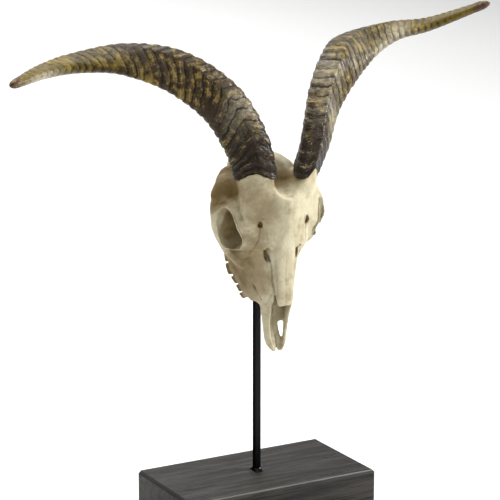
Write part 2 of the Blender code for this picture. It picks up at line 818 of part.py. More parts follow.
def make_premaxilla(side):
    wall = premaxilla_wall(side)
    wider = RIGHT_PRONG_EXTRA if side < 0 else 0.0
    plate = loft(
        [
            section(0, 2.8, -0.6, 2.6, 2.6, middle=side * 3.4, points=10),
            section(4, 3.2, -0.9, 4.0, 4.0, middle=side * 4.4, points=10),
            section(9, 3.3, -1, 4.5, 4.5, middle=side * 4.9, points=10),
            section(13, 3.0, -0.6, 4.6, 4.6, middle=side * 5.0, points=10),
        ]
    )
    prong = loft(
        [
            section(along, rise + 1.3, rise - 1.3, half, half, middle=side * (half + 0.5), points=10)
            for along, rise, half in (
                (10, 1.6, 3.4 + wider),
                (20, 2.8, 2.6 + wider),
                (29, 4.4, 2.4 + wider),
                (37, 6.4, 2.4),
            )
        ]
    )
    floor = loft(
        [
            section(along, rise + 1.4, rise - 1.4, half, half, middle=side * middle, points=10)
            for along, rise, middle, half in (
                (29, 4.6, 8.5, 4.6),
                (33, 5.6, 7.0, 6.2),
                (PREMAXILLA_END, 8.6, 7.2, 6.8),
            )
        ]
    )
    combine(wall, [plate, prong, floor], "UNION")
    combine(wall, [nasal_solid(s, GAP) for s in SIDES], "DIFFERENCE")
    return finish_part(wall, "premaxilla_" + SIDE_NAMES[side], BONE)


def nasal_room(side):
    return nasal_solid(side, GAP)


def premaxilla_room(side):
    return premaxilla_wall(side, GAP)


def set_askew(obj):
    """Shifts the skull's broad sides a little to its left, as this one's are."""
    for vert in obj.data.vertices:
        share = min(max((abs(vert.co.x) / MM - SKEW_FROM) / (SKEW_FULL - SKEW_FROM), 0.0), 1.0)
        vert.co.x += SKEW * MM * share * share * (3 - 2 * share)


def make_bones():
    cranium, *others = cranium_pieces()
    combine(cranium, others + [forehead_core()], "UNION")
    combine(cranium, [saddle()], "DIFFERENCE")
    resurface(cranium, BONE_VOXEL, BONE_SMOOTHING)
    thin_out(cranium, CRANIUM_FACES)
    rooms = [room(side) for side in SIDES for room in (nasal_room, horn_room)]
    combine(cranium, cranium_cutters(), "DIFFERENCE", "MANIFOLD")
    combine(cranium, [face_region(PAST_SNOUT, GAP), socket(GAP), *rooms], "DIFFERENCE", "MANIFOLD")

    maxilla, *others = maxilla_pieces()
    combine(maxilla, others, "UNION")
    resurface(maxilla, BONE_VOXEL, BONE_SMOOTHING)
    thin_out(maxilla, MAXILLA_FACES)
    combine(maxilla, maxilla_cutters(), "DIFFERENCE", "MANIFOLD")
    combine(maxilla, [tooth(side, *row) for side in SIDES for row in TEETH], "UNION", "MANIFOLD")
    combine(maxilla, [face_region()], "INTERSECT", "MANIFOLD")
    rooms = [room(side) for side in SIDES for room in (nasal_room, premaxilla_room)]
    combine(maxilla, [socket(GAP), *rooms], "DIFFERENCE", "MANIFOLD")

    for bone, name in ((cranium, "cranium"), (maxilla, "maxilla")):
        set_askew(bone)
        finish_part(bone, name, BONE)
    for side in SIDES:
        finish_part(nasal_solid(side), "nasal_" + SIDE_NAMES[side], BONE)
        make_premaxilla(side)


def main():
    clear_scene()
    make_block()
    make_rod()
    make_bead()
    make_bones()
    for side in SIDES:
        make_horn(side)


main()
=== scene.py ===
"""The looks of a billy goat's skull with its horns, on a black rod in a black-stained wooden block.

Sizes are in millimetres unless a name says otherwise; the scene is in metres, +Z up, with the
skull facing -Y.  The skull's own frame is x across, "along" from the tip of the snout back along
the palate, and "rise" from the palate up towards the forehead.
"""

import logging
import math
from dataclasses import dataclass, field
from enum import Enum
from typing import Any, Iterable, Sequence

import bmesh
import bpy
import numpy as np
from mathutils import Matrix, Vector
from mathutils.kdtree import KDTree


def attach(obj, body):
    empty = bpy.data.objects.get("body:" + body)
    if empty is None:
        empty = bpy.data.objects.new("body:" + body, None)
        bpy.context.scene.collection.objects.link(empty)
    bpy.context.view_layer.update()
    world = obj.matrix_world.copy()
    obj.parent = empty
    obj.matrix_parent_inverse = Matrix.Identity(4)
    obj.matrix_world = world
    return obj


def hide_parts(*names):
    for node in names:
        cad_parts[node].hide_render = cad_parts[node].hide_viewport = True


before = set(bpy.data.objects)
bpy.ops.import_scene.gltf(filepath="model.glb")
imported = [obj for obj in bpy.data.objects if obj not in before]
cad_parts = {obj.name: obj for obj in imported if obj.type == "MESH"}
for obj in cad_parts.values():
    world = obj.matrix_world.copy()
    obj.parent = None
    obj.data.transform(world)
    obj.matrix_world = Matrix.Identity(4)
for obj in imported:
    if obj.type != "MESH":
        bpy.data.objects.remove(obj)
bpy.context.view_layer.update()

Obj = bpy.types.Object
Socket = bpy.types.NodeSocket
Array = np.ndarray
Colour = tuple[float, float, float, float]
Rows = tuple[tuple[float, ...], ...]

MM = 0.001
SNOUT_TIP = np.array((0.0, -40.4, 188.4))
SKULL_LEAN = math.radians(23.0)
ALONG = np.array((0.0, math.sin(SKULL_LEAN), math.cos(SKULL_LEAN)))
RISE = np.array((0.0, -math.cos(SKULL_LEAN), math.sin(SKULL_LEAN)))

log = logging.getLogger("goat_skull")


class Side(Enum):
    """The animal's own sides: its right is at -X."""

    RIGHT = -1
    LEFT = 1

    @property
    def word(self) -> str:
        """The side's name as the nodes spell it."""
        return self.name.lower()


class Slot(Enum):
    """The record's material slots."""

    BONE = "bone"
    HORN = "horn"
    WOOD = "black_wood"
    STEEL = "black_steel"


# Number helpers


def ease(value: Any, start: Any, end: Any) -> Any:
    """Goes evenly from 0 at the start to 1 at the end, which may be the lower value."""
    return np.clip((value - start) / (end - start), 0, 1)


def bell(far: Any, reach: float) -> Any:
    """Falls softly from 1 at no distance to nearly 0 at twice the reach."""
    return np.exp(-((far / reach) ** 2))


def ripple(points: Array, wavelength: float, seed: int, waves: int = 14) -> Array:
    """A soft random swell through space, about -1 to 1.

    Args:
        points: Rows of coordinates, in millimetres.
        wavelength: The swell's length, in millimetres.
        seed: Which of the random swells.
        waves: How many plain waves make it.

    Returns:
        One number for each point.
    """
    rng = np.random.default_rng(seed)
    total = np.zeros(len(points))
    for _ in range(waves):
        way = rng.normal(size=3)
        way *= 2 * math.pi / (wavelength * rng.uniform(0.7, 1.5)) / np.linalg.norm(way)
        total += np.sin(points @ way + rng.uniform(0, 2 * math.pi))
    return total / math.sqrt(waves)


def smooth_path(points: Any, count: int) -> Array:
    """Reads points evenly from a Catmull-Rom curve.

    Args:
        points: The rows that the curve goes through, in any number of columns.
        count: How many rows to read.

    Returns:
        The rows read.
    """
    points = np.asarray(points, float)
    ends = np.vstack([2 * points[0] - points[1], points, 2 * points[-1] - points[-2]])
    spans = len(ends) - 3
    found = []
    for t in np.linspace(0.0, spans, count):
        i = min(int(t), spans - 1)
        u = t - i
        a, b, c, d = ends[i : i + 4]
        square, cube = 2 * a - 5 * b + 4 * c - d, 3 * (b - c) + d - a
        found.append(0.5 * (2 * b + (c - a) * u + square * u**2 + cube * u**3))
    return np.array(found)


def line_distance(places: Array, line: Any) -> Array:
    """How far places are from a line of points.

    Args:
        places: One row for each place.
        line: The line's points, with as many columns.

    Returns:
        One distance for each place.
    """
    line = np.asarray(line, float)
    best = np.full(len(places), np.inf)
    for a, b in zip(line, line[1:]):
        way = b - a
        t = np.clip((places - a) @ way / (way @ way), 0, 1)
        best = np.minimum(best, np.linalg.norm(places - a - t[:, None] * way, axis=1))
    return best


def skull_points(places: Any) -> Array:
    """Turns rows of x, along and rise in the skull's frame into metres in the scene."""
    x, along, rise = np.asarray(places, float).T[..., None]
    return (SNOUT_TIP + x * (1, 0, 0) + along * ALONG + rise * RISE) * MM


def skull_places(points: Array) -> Array:
    """Turns points in metres in the scene into rows of x, along and rise."""
    local = points / MM - SNOUT_TIP
    return np.column_stack([local[:, 0], local @ ALONG, local @ RISE])


# Mesh helpers


def deselect_all() -> None:
    """Leaves object mode with nothing selected."""
    if bpy.context.mode != "OBJECT":
        bpy.ops.object.mode_set(mode="OBJECT")
    bpy.ops.object.select_all(action="DESELECT")


def activate(*objects: Obj) -> None:
    """Makes these objects the only selected ones, and the first the active one.

    Args:
        objects: The objects that the next operators act on.
    """
    deselect_all()
    for obj in objects:
        obj.select_set(True)
    bpy.context.view_layer.objects.active = objects[0]


def apply_all(obj: Obj) -> None:
    """Applies the object's modifiers in their order.

    Args:
        obj: The object with live modifiers.
    """
    activate(obj)
    for modifier in list(obj.modifiers):
        bpy.ops.object.modifier_apply(modifier=modifier.name)


def joined(objects: Sequence[Obj]) -> Obj:
    """Joins objects into the first one's mesh.

    Args:
        objects: The objects, all of them used up.

    Returns:
        The joined object.
    """
    activate(*objects)
    bpy.ops.object.join()
    return bpy.context.object


def twin(obj: Obj, name: str) -> Obj:
    """Copies an object with a mesh of its own.

    Args:
        obj: The object to copy.
        name: The copy's name.

    Returns:
        The copy, linked to the scene.
    """
    copy = obj.copy()
    copy.data = obj.data.copy()
    copy.name = copy.data.name = name
    bpy.context.scene.collection.objects.link(copy)
    return copy


def face_out(obj: Obj) -> None:
    """Turns all faces of a closed mesh outwards.

    Args:
        obj: The object.
    """
    activate(obj)
    bpy.ops.object.mode_set(mode="EDIT")
    bpy.ops.mesh.select_all(action="SELECT")
    bpy.ops.mesh.normals_make_consistent(inside=False)
    bpy.ops.object.mode_set(mode="OBJECT")


def new_object(name: str, bm: bmesh.types.BMesh) -> Obj:
    """Makes an object of a bmesh and frees it.

    Args:
        name: The object's name.
        bm: The mesh in edit form.

    Returns:
        The new object, linked to the scene.
    """
    mesh = bpy.data.meshes.new(name)
    bm.to_mesh(mesh)
    bm.free()
    obj = bpy.data.objects.new(name, mesh)
    bpy.context.scene.collection.objects.link(obj)
    return obj


def closed_loft(name: str, rings: Sequence[Sequence[Any]]) -> Obj:
    """Makes a closed solid through rings with the same number of points.

    Args:
        name: The object's name.
        rings: Rows of points, in metres.

    Returns:
        The solid, with its faces pointing out.
    """
    bm = bmesh.new()
    rows = [[bm.verts.new(p) for p in ring] for ring in rings]
    for low, high in zip(rows, rows[1:]):
        for i in range(len(low)):
            j = (i + 1) % len(low)
            bm.faces.new((low[i], low[j], high[j], high[i]))
    bm.faces.new(rows[0])
    bm.faces.new(rows[-1])
    bmesh.ops.triangulate(bm, faces=bm.faces)
    bmesh.ops.recalc_face_normals(bm, faces=bm.faces)
    return new_object(name, bm)


def boolean(obj: Obj, cutters: Iterable[Obj], operation: str) -> None:
    """Changes a closed mesh by others, and applies each step at once.

    Args:
        obj: The mesh that is changed.
        cutters: The closed meshes that change it.
        operation: DIFFERENCE, INTERSECT or UNION.
    """
    for cutter in cutters:
        step = obj.modifiers.new(operation.title(), "BOOLEAN")
        step.object, step.operation, step.solver = cutter, operation, "MANIFOLD"
        apply_all(obj)


def remove(*objects: Obj) -> None:
    """Takes helper objects out of the scene."""
    for obj in objects:
        bpy.data.objects.remove(obj, do_unlink=True)


def rows_of(items: Any, name: str) -> Array:
    """Reads a vector of each vertex.

    Args:
        items: The mesh's vertices, or the collection of their normals.
        name: The vector's name there.

    Returns:
        One row for each vertex.
    """
    found = np.empty(len(items) * 3, np.float32)
    items.foreach_get(name, found)
    return found.reshape(-1, 3).astype(float)


def points_of(obj: Obj) -> Array:
    """The mesh's points in metres, one row each."""
    return rows_of(obj.data.vertices, "co")


def put_points(obj: Obj, points: Array) -> None:
    """Moves the mesh's points to these, in metres, one row each."""
    obj.data.vertices.foreach_set("co", points.astype(np.float32).ravel())
    obj.data.update()


def normals_of(obj: Obj) -> Array:
    """The mesh's vertex normals, one row each."""
    return rows_of(obj.data.vertex_normals, "vector")


def put_attribute(obj: Obj, name: str, values: Array) -> None:
    """Stores a number at each vertex under a name, for the material to read."""
    found = obj.data.attributes.new(name, "FLOAT", "POINT")
    found.data.foreach_set("value", values.astype(np.float32))


def relaxed(obj: Obj, values: Array, rounds: int, share: float = 0.5) -> Array:
    """Averages values with those of neighbouring vertices.

    Args:
        obj: The object whose edges say which vertices are neighbours.
        values: One row for each vertex.
        rounds: How often to average.
        share: How much of the neighbours' mean is taken each time.

    Returns:
        The averaged values.
    """
    ends = np.empty(len(obj.data.edges) * 2, np.int32)
    obj.data.edges.foreach_get("vertices", ends)
    first, second = ends.reshape(-1, 2).T
    count = len(obj.data.vertices)
    degree = np.bincount(first, minlength=count) + np.bincount(second, minlength=count)
    degree = np.maximum(degree, 1)
    found = values.reshape(count, -1).astype(float).copy()
    for _ in range(rounds):
        for column in found.T:
            total = np.bincount(first, column[second], count)
            total += np.bincount(second, column[first], count)
            column += share * (total / degree - column)
    return found.reshape(values.shape)


# Shader helpers


class Signal:
    """A number that a shader's socket gives, with operators that add Math nodes."""

    def __init__(self, shader: "Shader", socket: Socket) -> None:
        """Wraps an output socket of a shader."""
        self.shader = shader
        self.socket = socket

    def math(self, operation: str, *others: Any) -> "Signal":
        """Adds a Math node of this operation after this signal, with the other values."""
        sockets = dict(enumerate((self, *others)))
        return self.shader.signal("ShaderNodeMath", {"operation": operation}, sockets)

    def __add__(self, other: Any) -> "Signal":
        """Sum."""
        return self.math("ADD", other)

    __radd__ = __add__

    def __sub__(self, other: Any) -> "Signal":
        """Difference."""
        return self.math("SUBTRACT", other)

    def __rsub__(self, other: Any) -> "Signal":
        """Difference from a number."""
        return self.math("MULTIPLY_ADD", -1.0, other)

    def __mul__(self, other: Any) -> "Signal":
        """Product."""
        return self.math("MULTIPLY", other)

    __rmul__ = __mul__

    def step(self, low: float, high: float) -> "Signal":
        """Goes smoothly from 0 at one value to 1 at another.

        Args:
            low: The value that gives 0.
            high: The value that gives 1. It may be the lower one.

        Returns:
            The smooth step.
        """
        ends = (low, high) if low < high else (high, low)
        settings = {"interpolation_type": "SMOOTHSTEP"}
        sockets = {"Value": self, "From Min": ends[0], "From Max": ends[1]}
        made = self.shader.signal("ShaderNodeMapRange", settings, sockets)
        return made if low < high else 1.0 - made

    def from_whole(self) -> "Signal":
        """How far the signal is from the nearest whole number, 0 to 0.5."""
        return self.math("PINGPONG", 0.5)


class Shader:
    """A material with its surface shader, and short ways to add nodes."""

    def __init__(self, name: str) -> None:
        """Makes the material.

        Args:
            name: The material's name.
        """
        self.material = bpy.data.materials.new(name)
        self.material.use_nodes = True
        self.tree = self.material.node_tree
        self.surface = self.tree.nodes["Principled BSDF"]
        self.coordinates = self.node("ShaderNodeTexCoord", {}, {}).outputs["Object"]

    def node(self, kind: str, settings: dict[str, Any], sockets: dict[Any, Any]) -> bpy.types.Node:
        """Adds one node.

        Args:
            kind: The node's type.
            settings: Its properties.
            sockets: Its input sockets' values, signals or links, by name or number.

        Returns:
            The node.
        """
        made = self.tree.nodes.new(kind)
        for name, value in settings.items():
            setattr(made, name, value)
        for name, value in sockets.items():
            self.feed(made.inputs[name], value)
        return made

    def feed(self, socket: Socket, value: Any) -> None:
        """Sets or links an input socket.

        Args:
            socket: The input socket.
            value: A number, a colour, a signal or an output socket.
        """
        if isinstance(value, (Signal, Socket)):
            self.tree.links.new(getattr(value, "socket", value), socket)
        else:
            socket.default_value = value

    def finish(self, values: dict[str, Any]) -> None:
        """Sets or links the surface shader's sockets, by name."""
        for name, value in values.items():
            self.feed(self.surface.inputs[name], value)

    def signal(
        self, kind: str, settings: dict[str, Any], sockets: dict[Any, Any], output: Any = 0
    ) -> Signal:
        """Adds one node and wraps its output of this name or number."""
        return Signal(self, self.node(kind, settings, sockets).outputs[output])

    def attribute(self, name: str) -> Signal:
        """The number stored at the mesh's vertices under this name."""
        return self.signal("ShaderNodeAttribute", {"attribute_name": name}, {}, "Fac")

    def stretched(self, scale: Sequence[float], turn: Sequence[float] = (0.0, 0.0, 0.0)) -> Socket:
        """The object's coordinates, turned by angles in radians and scaled on each axis."""
        sockets = {"Vector": self.coordinates, "Rotation": turn, "Scale": scale}
        return self.node("ShaderNodeMapping", {"vector_type": "POINT"}, sockets).outputs[0]

    def noise(
        self,
        size: float,
        vector: Any = None,
        detail: float = 3.0,
        rough: float = 0.55,
        bend: float = 0.0,
    ) -> Signal:
        """Cloudy noise.

        Args:
            size: The clouds' size in millimetres.
            vector: The coordinates, or the object's where left out.
            detail: How many finer layers it has.
            rough: How strong the finer layers are.
            bend: How much the noise is bent by itself.

        Returns:
            The noise, 0 to 1.
        """
        sockets = {
            "Vector": vector or self.coordinates,
            "Scale": 1.0 / (size * MM),
            "Detail": detail,
            "Roughness": rough,
            "Distortion": bend,
        }
        return self.signal("ShaderNodeTexNoise", {}, sockets, "Fac")

    def cells(self, size: float) -> Signal:
        """The distance from the nearest of points scattered this many millimetres apart."""
        sockets = {"Vector": self.coordinates, "Scale": 1.0 / (size * MM)}
        return self.signal("ShaderNodeTexVoronoi", {}, sockets, "Distance")

    def mix(self, share: Any, first: Any, second: Any) -> Socket:
        """Mixes a share of the second colour into the first; each is a colour or a socket."""
        settings = {"data_type": "RGBA", "clamp_factor": True}
        return self.node("ShaderNodeMix", settings, {0: share, 6: first, 7: second}).outputs[2]

    def ramp(self, value: Signal, stops: Sequence[tuple[float, Colour]]) -> Socket:
        """Turns a number into a colour.

        Args:
            value: The number, 0 to 1.
            stops: Places and their colours.

        Returns:
            The colour's socket.
        """
        made = self.node("ShaderNodeValToRGB", {}, {0: value})
        elements = made.color_ramp.elements
        while len(elements) < len(stops):
            elements.new(0.5)
        for element, (place, colour) in zip(elements, stops):
            element.position, element.color = place, colour
        return made.outputs["Color"]

    def bump(self, height: Signal, depth: float, strength: float) -> None:
        """Raises the surface's shading by a height, where 1 stands for so many millimetres."""
        sockets = {"Height": height, "Distance": depth * MM, "Strength": strength}
        self.finish({"Normal": self.node("ShaderNodeBump", {}, sockets).outputs[0]})

    def dress(self, obj: Obj) -> None:
        """Puts this material on an object, as its only one."""
        obj.data.materials.clear()
        obj.data.materials.append(self.material)


@dataclass(frozen=True)
class BoneFinish:
    """Cleaned, slightly aged bone: ivory on the heights, olive-brown in the hollows, partly stains
    and partly painted shade.
    """

    pale: Colour = (0.605, 0.555, 0.39, 1.0)
    ivory: Colour = (0.475, 0.415, 0.265, 1.0)
    tan: Colour = (0.285, 0.215, 0.108, 1.0)
    # Brown for stains and pores, and painted shade in creases and hollows
    stain_and_shade_brown: Colour = (0.15, 0.096, 0.024, 1.0)
    crack: Colour = (0.045, 0.03, 0.016, 1.0)
    roughness: float = 0.55
    occlusion_reach: float = 16.0

    def shader(self) -> Shader:
        """Builds the material.

        Returns:
            The finished shader.
        """
        s = Shader("aged_bone")
        patches = s.noise(38, detail=4, bend=0.6)
        blotches = s.noise(8, detail=5, rough=0.65)
        streaks = s.noise(15, s.stretched((1.0, 1.0, 0.2), (SKULL_LEAN, 0.0, 0.0)), detail=5)
        grain = s.noise(1.1, detail=4, rough=0.7)
        pores = s.cells(1.9).step(0.30, 0.12) * s.noise(7).step(0.5, 0.66)
        hollow, seam, stain = (s.attribute(n) for n in ("hollow", "seam", "stain"))
        # The occlusion darkens creases: painted shade
        reach = {"Distance": self.occlusion_reach * MM}
        shade = 1.0 - s.signal("ShaderNodeAmbientOcclusion", {"samples": 12}, reach, "AO")
        # The stain attribute holds real stains and painted shade; with the blotches it browns the
        # bone
        worn = stain + (blotches - 0.5) * 0.5 + (patches - 0.5) * 0.5
        # Below 0 the stain attribute lessens the painted shade: painted light
        shade_lift = stain.math("MINIMUM", 0.0) * 0.9
        colour = s.mix(patches.step(0.35, 0.65) * 0.8, self.pale, self.ivory)
        # The brown laid by the occlusion and by the hollows is painted shade
        for share, layer in (
            ((streaks + blotches).step(0.95, 1.25) * 0.45, self.tan),
            (worn.step(0.05, 0.55) * 0.85, self.tan),
            (worn.step(0.55, 1.05), self.stain_and_shade_brown),
            (shade.step(0.15, 0.8) * (0.75 + shade_lift), self.stain_and_shade_brown),
            (hollow.step(0.1, 1.0) * (0.55 + shade_lift), self.stain_and_shade_brown),
            (pores * 0.3, self.stain_and_shade_brown),
            (seam * (0.35 + 0.65 * blotches), self.crack),
        ):
            colour = s.mix(share, colour, layer)
        roughness = self.roughness + 0.22 * (blotches - 0.5) + 0.12 * grain
        s.finish({"Base Color": colour, "Roughness": roughness, "Specular IOR Level": 0.35})
        s.bump(grain * 0.3 + blotches * 0.8 + streaks * 0.4 - pores * 0.8, 0.4, 0.8)
        return s


@dataclass(frozen=True)
class HornFinish:
    """Ringed horn: near-black at the root, mottled brown and gold, olive-tan to the tip."""

    root: Colour = (0.026, 0.016, 0.009, 1.0)
    brown: Colour = (0.048, 0.028, 0.010, 1.0)
    gold: Colour = (0.235, 0.16, 0.026, 1.0)
    olive: Colour = (0.120, 0.084, 0.010, 1.0)
    plank: Colour = (0.155, 0.118, 0.062, 1.0)
    # Pale patches: painted highlights on the left horn, pale spots on the right one
    cream_and_highlight: Colour = (0.52, 0.47, 0.35, 1.0)
    # Painted glints on the fine ridges and painted highlights on the ring crests
    glint_gold: Colour = (0.46, 0.37, 0.17, 1.0)
    # Painted shade in the rings' grooves
    groove: Colour = (0.007, 0.005, 0.004, 1.0)
    tip: Colour = (0.075, 0.035, 0.02, 1.0)
    sheen: Colour = (0.34, 0.32, 0.28, 1.0)
    coat: float = 0.16
    coat_roughness: float = 0.14

    def shader(self) -> Shader:
        """Builds the material.

        Returns:
            The finished shader.
        """
        s = Shader("ringed_horn")
        share, cross, front, worn = (s.attribute(n) for n in ("share", "cross", "front", "worn"))
        wander = s.noise(11, detail=3, bend=0.5) - 0.5
        fray = s.noise(2.2, detail=3, rough=0.65) - 0.5
        ring = s.attribute("ring") + wander * 0.8 + fray * 0.22
        clouds = s.noise(15, detail=5, rough=0.6, bend=1.0)
        flecks = s.noise(4.5, detail=5, rough=0.72)
        fibre = s.noise(2.2, detail=4, rough=0.75)
        strong = s.noise(24, detail=2).step(0.36, 0.6)
        groove = ring.from_whole().step(0.16, 0.04) * (0.35 + 0.65 * strong)
        crest = (ring + 0.5).from_whole()
        fine = (ring * 5.0 + wander * 3.0).from_whole()
        inner = cross.step(0.42, 0.6) * front.step(-0.5, 0.0)
        inner = inner * share.step(0.13, 0.24) * share.step(0.44, 0.32)
        bars = ring.from_whole().step(0.34, 0.12) * front.step(0.6, 0.2)
        bars = bars * share.step(0.58, 0.72) * share.step(0.93, 0.86)
        # Thin strokes along the fine ridges: painted glints
        streaks = fine.step(0.15, 0.04) * (flecks + wander * 0.6).step(0.5, 0.68)
        streaks = streaks * share.step(0.8, 0.55) * (0.45 + 0.55 * share.step(0.03, 0.14))
        # Bright lines on the ring crests: painted highlights
        crest_glints = crest.step(0.12, 0.02) * clouds.step(0.46, 0.62) * share.step(0.7, 0.45)
        colour = s.ramp(
            share,
            (
                (0.0, self.root),
                (0.12, self.root),
                (0.26, self.brown),
                (0.52, self.brown),
                (0.68, self.olive),
                (0.965, self.olive),
                (0.99, self.tip),
            ),
        )
        for much, layer in (
            ((clouds + flecks * 0.5).step(0.72, 0.92) * share.step(0.07, 0.22) * 0.9, self.gold),
            (inner * (0.35 + 0.65 * flecks.step(0.4, 0.6)), self.plank),
            (bars * flecks.step(0.3, 0.5) * 0.9, self.brown),
            ((clouds - fray * 0.8).step(0.56, 0.38) * 0.75 * share.step(0.9, 0.7), self.root),
            # The back of the horn darkened towards the root colour: painted shade
            (front.step(-0.2, -0.75) * 0.75, self.root),
            # The worn value lays painted highlights on the left horn and pale spots on the right
            # one
            (worn * (0.4 + 0.6 * flecks.step(0.35, 0.6)), self.cream_and_highlight),
            (streaks * front.step(-0.7, 0.0) * 0.65, self.glint_gold),
            (crest_glints * 0.5, self.glint_gold),
            # The grooves darkened nearly black: painted shade
            (groove * share.step(0.85, 0.6) * 0.95, self.groove),
        ):
            colour = s.mix(much, colour, layer)
        s.finish(
            {
                "Base Color": colour,
                "Roughness": 0.24 + 0.25 * flecks + 0.12 * fibre,
                "Specular IOR Level": 0.3,
                "Specular Tint": self.sheen,
                "Coat Weight": self.coat,
                "Coat Roughness": self.coat_roughness,
            }
        )
        ridges = fine.step(0.0, 0.4) * 0.5 * share.step(0.85, 0.6)
        s.bump(ridges + flecks * 0.6 + fibre * 0.35 - groove * 0.8, 0.9, 0.9)
        return s


@dataclass(frozen=True)
class WoodFinish:
    """Open-grained wood under a black stain and a satin lacquer, the grain along X, with a painted
    highlight on the front chamfer and painted shade on the left one.
    """

    half_length: float
    half_depth: float
    height: float
    chamfer: float
    stain: Colour = (0.010, 0.0095, 0.009, 1.0)
    worn: Colour = (0.051, 0.045, 0.039, 1.0)
    # Painted highlight on the front chamfer
    edge: Colour = (0.20, 0.20, 0.19, 1.0)
    # Open pores, and painted shade on the left chamfer
    pore_and_shade_black: Colour = (0.003, 0.003, 0.003, 1.0)
    sheen: Colour = (0.7, 0.68, 0.65, 1.0)

    def past_chamfer(self, out: Signal, up: Signal, half: float) -> Signal:
        """1 on the upper chamfer at this half side and 0 inside it."""
        sloped = half + self.height - self.chamfer
        return (up + out).step(sloped - 0.5, sloped - 0.1)

    def shader(self) -> Shader:
        """Builds the material.

        Returns:
            The finished shader.
        """
        s = Shader("black_stained_wood")
        bands = s.noise(6, s.stretched((0.04, 1.0, 1.0)), detail=4, bend=0.4)
        vessels = s.noise(0.8, s.stretched((0.02, 1.0, 1.0)), detail=3, rough=0.6)
        open_pores = vessels.step(0.44, 0.36) * bands.step(0.3, 0.55)
        haze = s.noise(30, detail=3)
        places = s.node("ShaderNodeSeparateXYZ", {}, {0: s.coordinates}).outputs
        # The painted highlight is on the front chamfer and the painted shade on the left one, both
        # at negative places
        signs = (-1, -1, 1)
        left, ahead, z = (Signal(s, place) * (sign / MM) for place, sign in zip(places, signs))
        highlight_band = z.step(self.height - 1.3, self.height - 0.5)
        front = self.past_chamfer(ahead, z, self.half_depth) * highlight_band
        side = self.past_chamfer(left, z, self.half_length)
        colour = s.mix((bands * 0.6 + vessels * 0.4).step(0.42, 0.6) * 0.8, self.stain, self.worn)
        colour = s.mix(open_pores * 0.9, colour, self.pore_and_shade_black)
        # Painted highlight along the front chamfer's upper band
        colour = s.mix(front * (0.4 + 0.6 * vessels), colour, self.edge)
        # Painted shade on the left chamfer
        colour = s.mix(side * 0.9, colour, self.pore_and_shade_black)
        roughness = 0.36 + 0.2 * vessels + 0.12 * haze
        s.finish({"Base Color": colour, "Roughness": roughness})
        s.finish({"Specular IOR Level": 0.3, "Specular Tint": self.sheen})
        s.bump(vessels * 0.6 + bands * 0.6 - open_pores, 0.45, 0.8)
        return s


@dataclass(frozen=True)
class SteelFinish:
    """Square bar in satin black paint."""

    name: str = "black_painted_steel"
    paint: Colour = (0.016, 0.016, 0.0165, 1.0)
    rubbed: Colour = (0.034, 0.034, 0.035, 1.0)
    sheen: Colour = (0.25, 0.25, 0.25, 1.0)
    roughness: float = 0.45

    def shader(self) -> Shader:
        """Builds the material.

        Returns:
            The finished shader.
        """
        s = Shader(self.name)
        rub = s.noise(14, s.stretched((1.0, 1.0, 0.3)), detail=5, rough=0.65)
        peel = s.noise(0.8, detail=2)
        colour = s.mix(rub.step(0.55, 0.8), self.paint, self.rubbed)
        s.finish({"Base Color": colour, "Roughness": self.roughness + 0.2 * rub - 0.1})
        s.finish({"Metallic": 1.0, "Specular Tint": self.sheen})
        s.bump(peel * 0.5 + rub * 0.5, 0.12, 0.5)
        return s


@dataclass(frozen=True)
class FloorFinish:
    """A plain pale studio floor."""

    white: Colour = (0.86, 0.86, 0.86, 1.0)
    cloud: Colour = (0.82, 0.82, 0.82, 1.0)

    def shader(self) -> Shader:
        """Builds the material.

        Returns:
            The finished shader.
        """
        s = Shader("pale_floor")
        colour = s.mix(s.noise(400, detail=2) * 0.1, self.white, self.cloud)
        s.finish({"Base Color": colour, "Roughness": 0.75})
        return s


def publish(obj: Obj, shader: Shader, slot: Slot, angle: float, *nodes: str) -> None:
    """Finishes a piece, registers it with the frame and reports it.

    Args:
        obj: The piece.
        shader: Its finish.
        slot: The record's material slot that it stands for; not used.
        angle: Edges sharper than this many degrees stay sharp.
        nodes: The CAD nodes that it replaces.
    """
    activate(obj)
    bpy.ops.object.transform_apply(location=True, rotation=True, scale=True)
    bpy.ops.object.shade_smooth_by_angle(angle=math.radians(angle))
    deselect_all()
    shader.dress(obj)
    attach(obj, "root")
    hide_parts(*nodes)
    log.info("%s: %d faces, for %s", obj.name, len(obj.data.polygons), ", ".join(nodes))


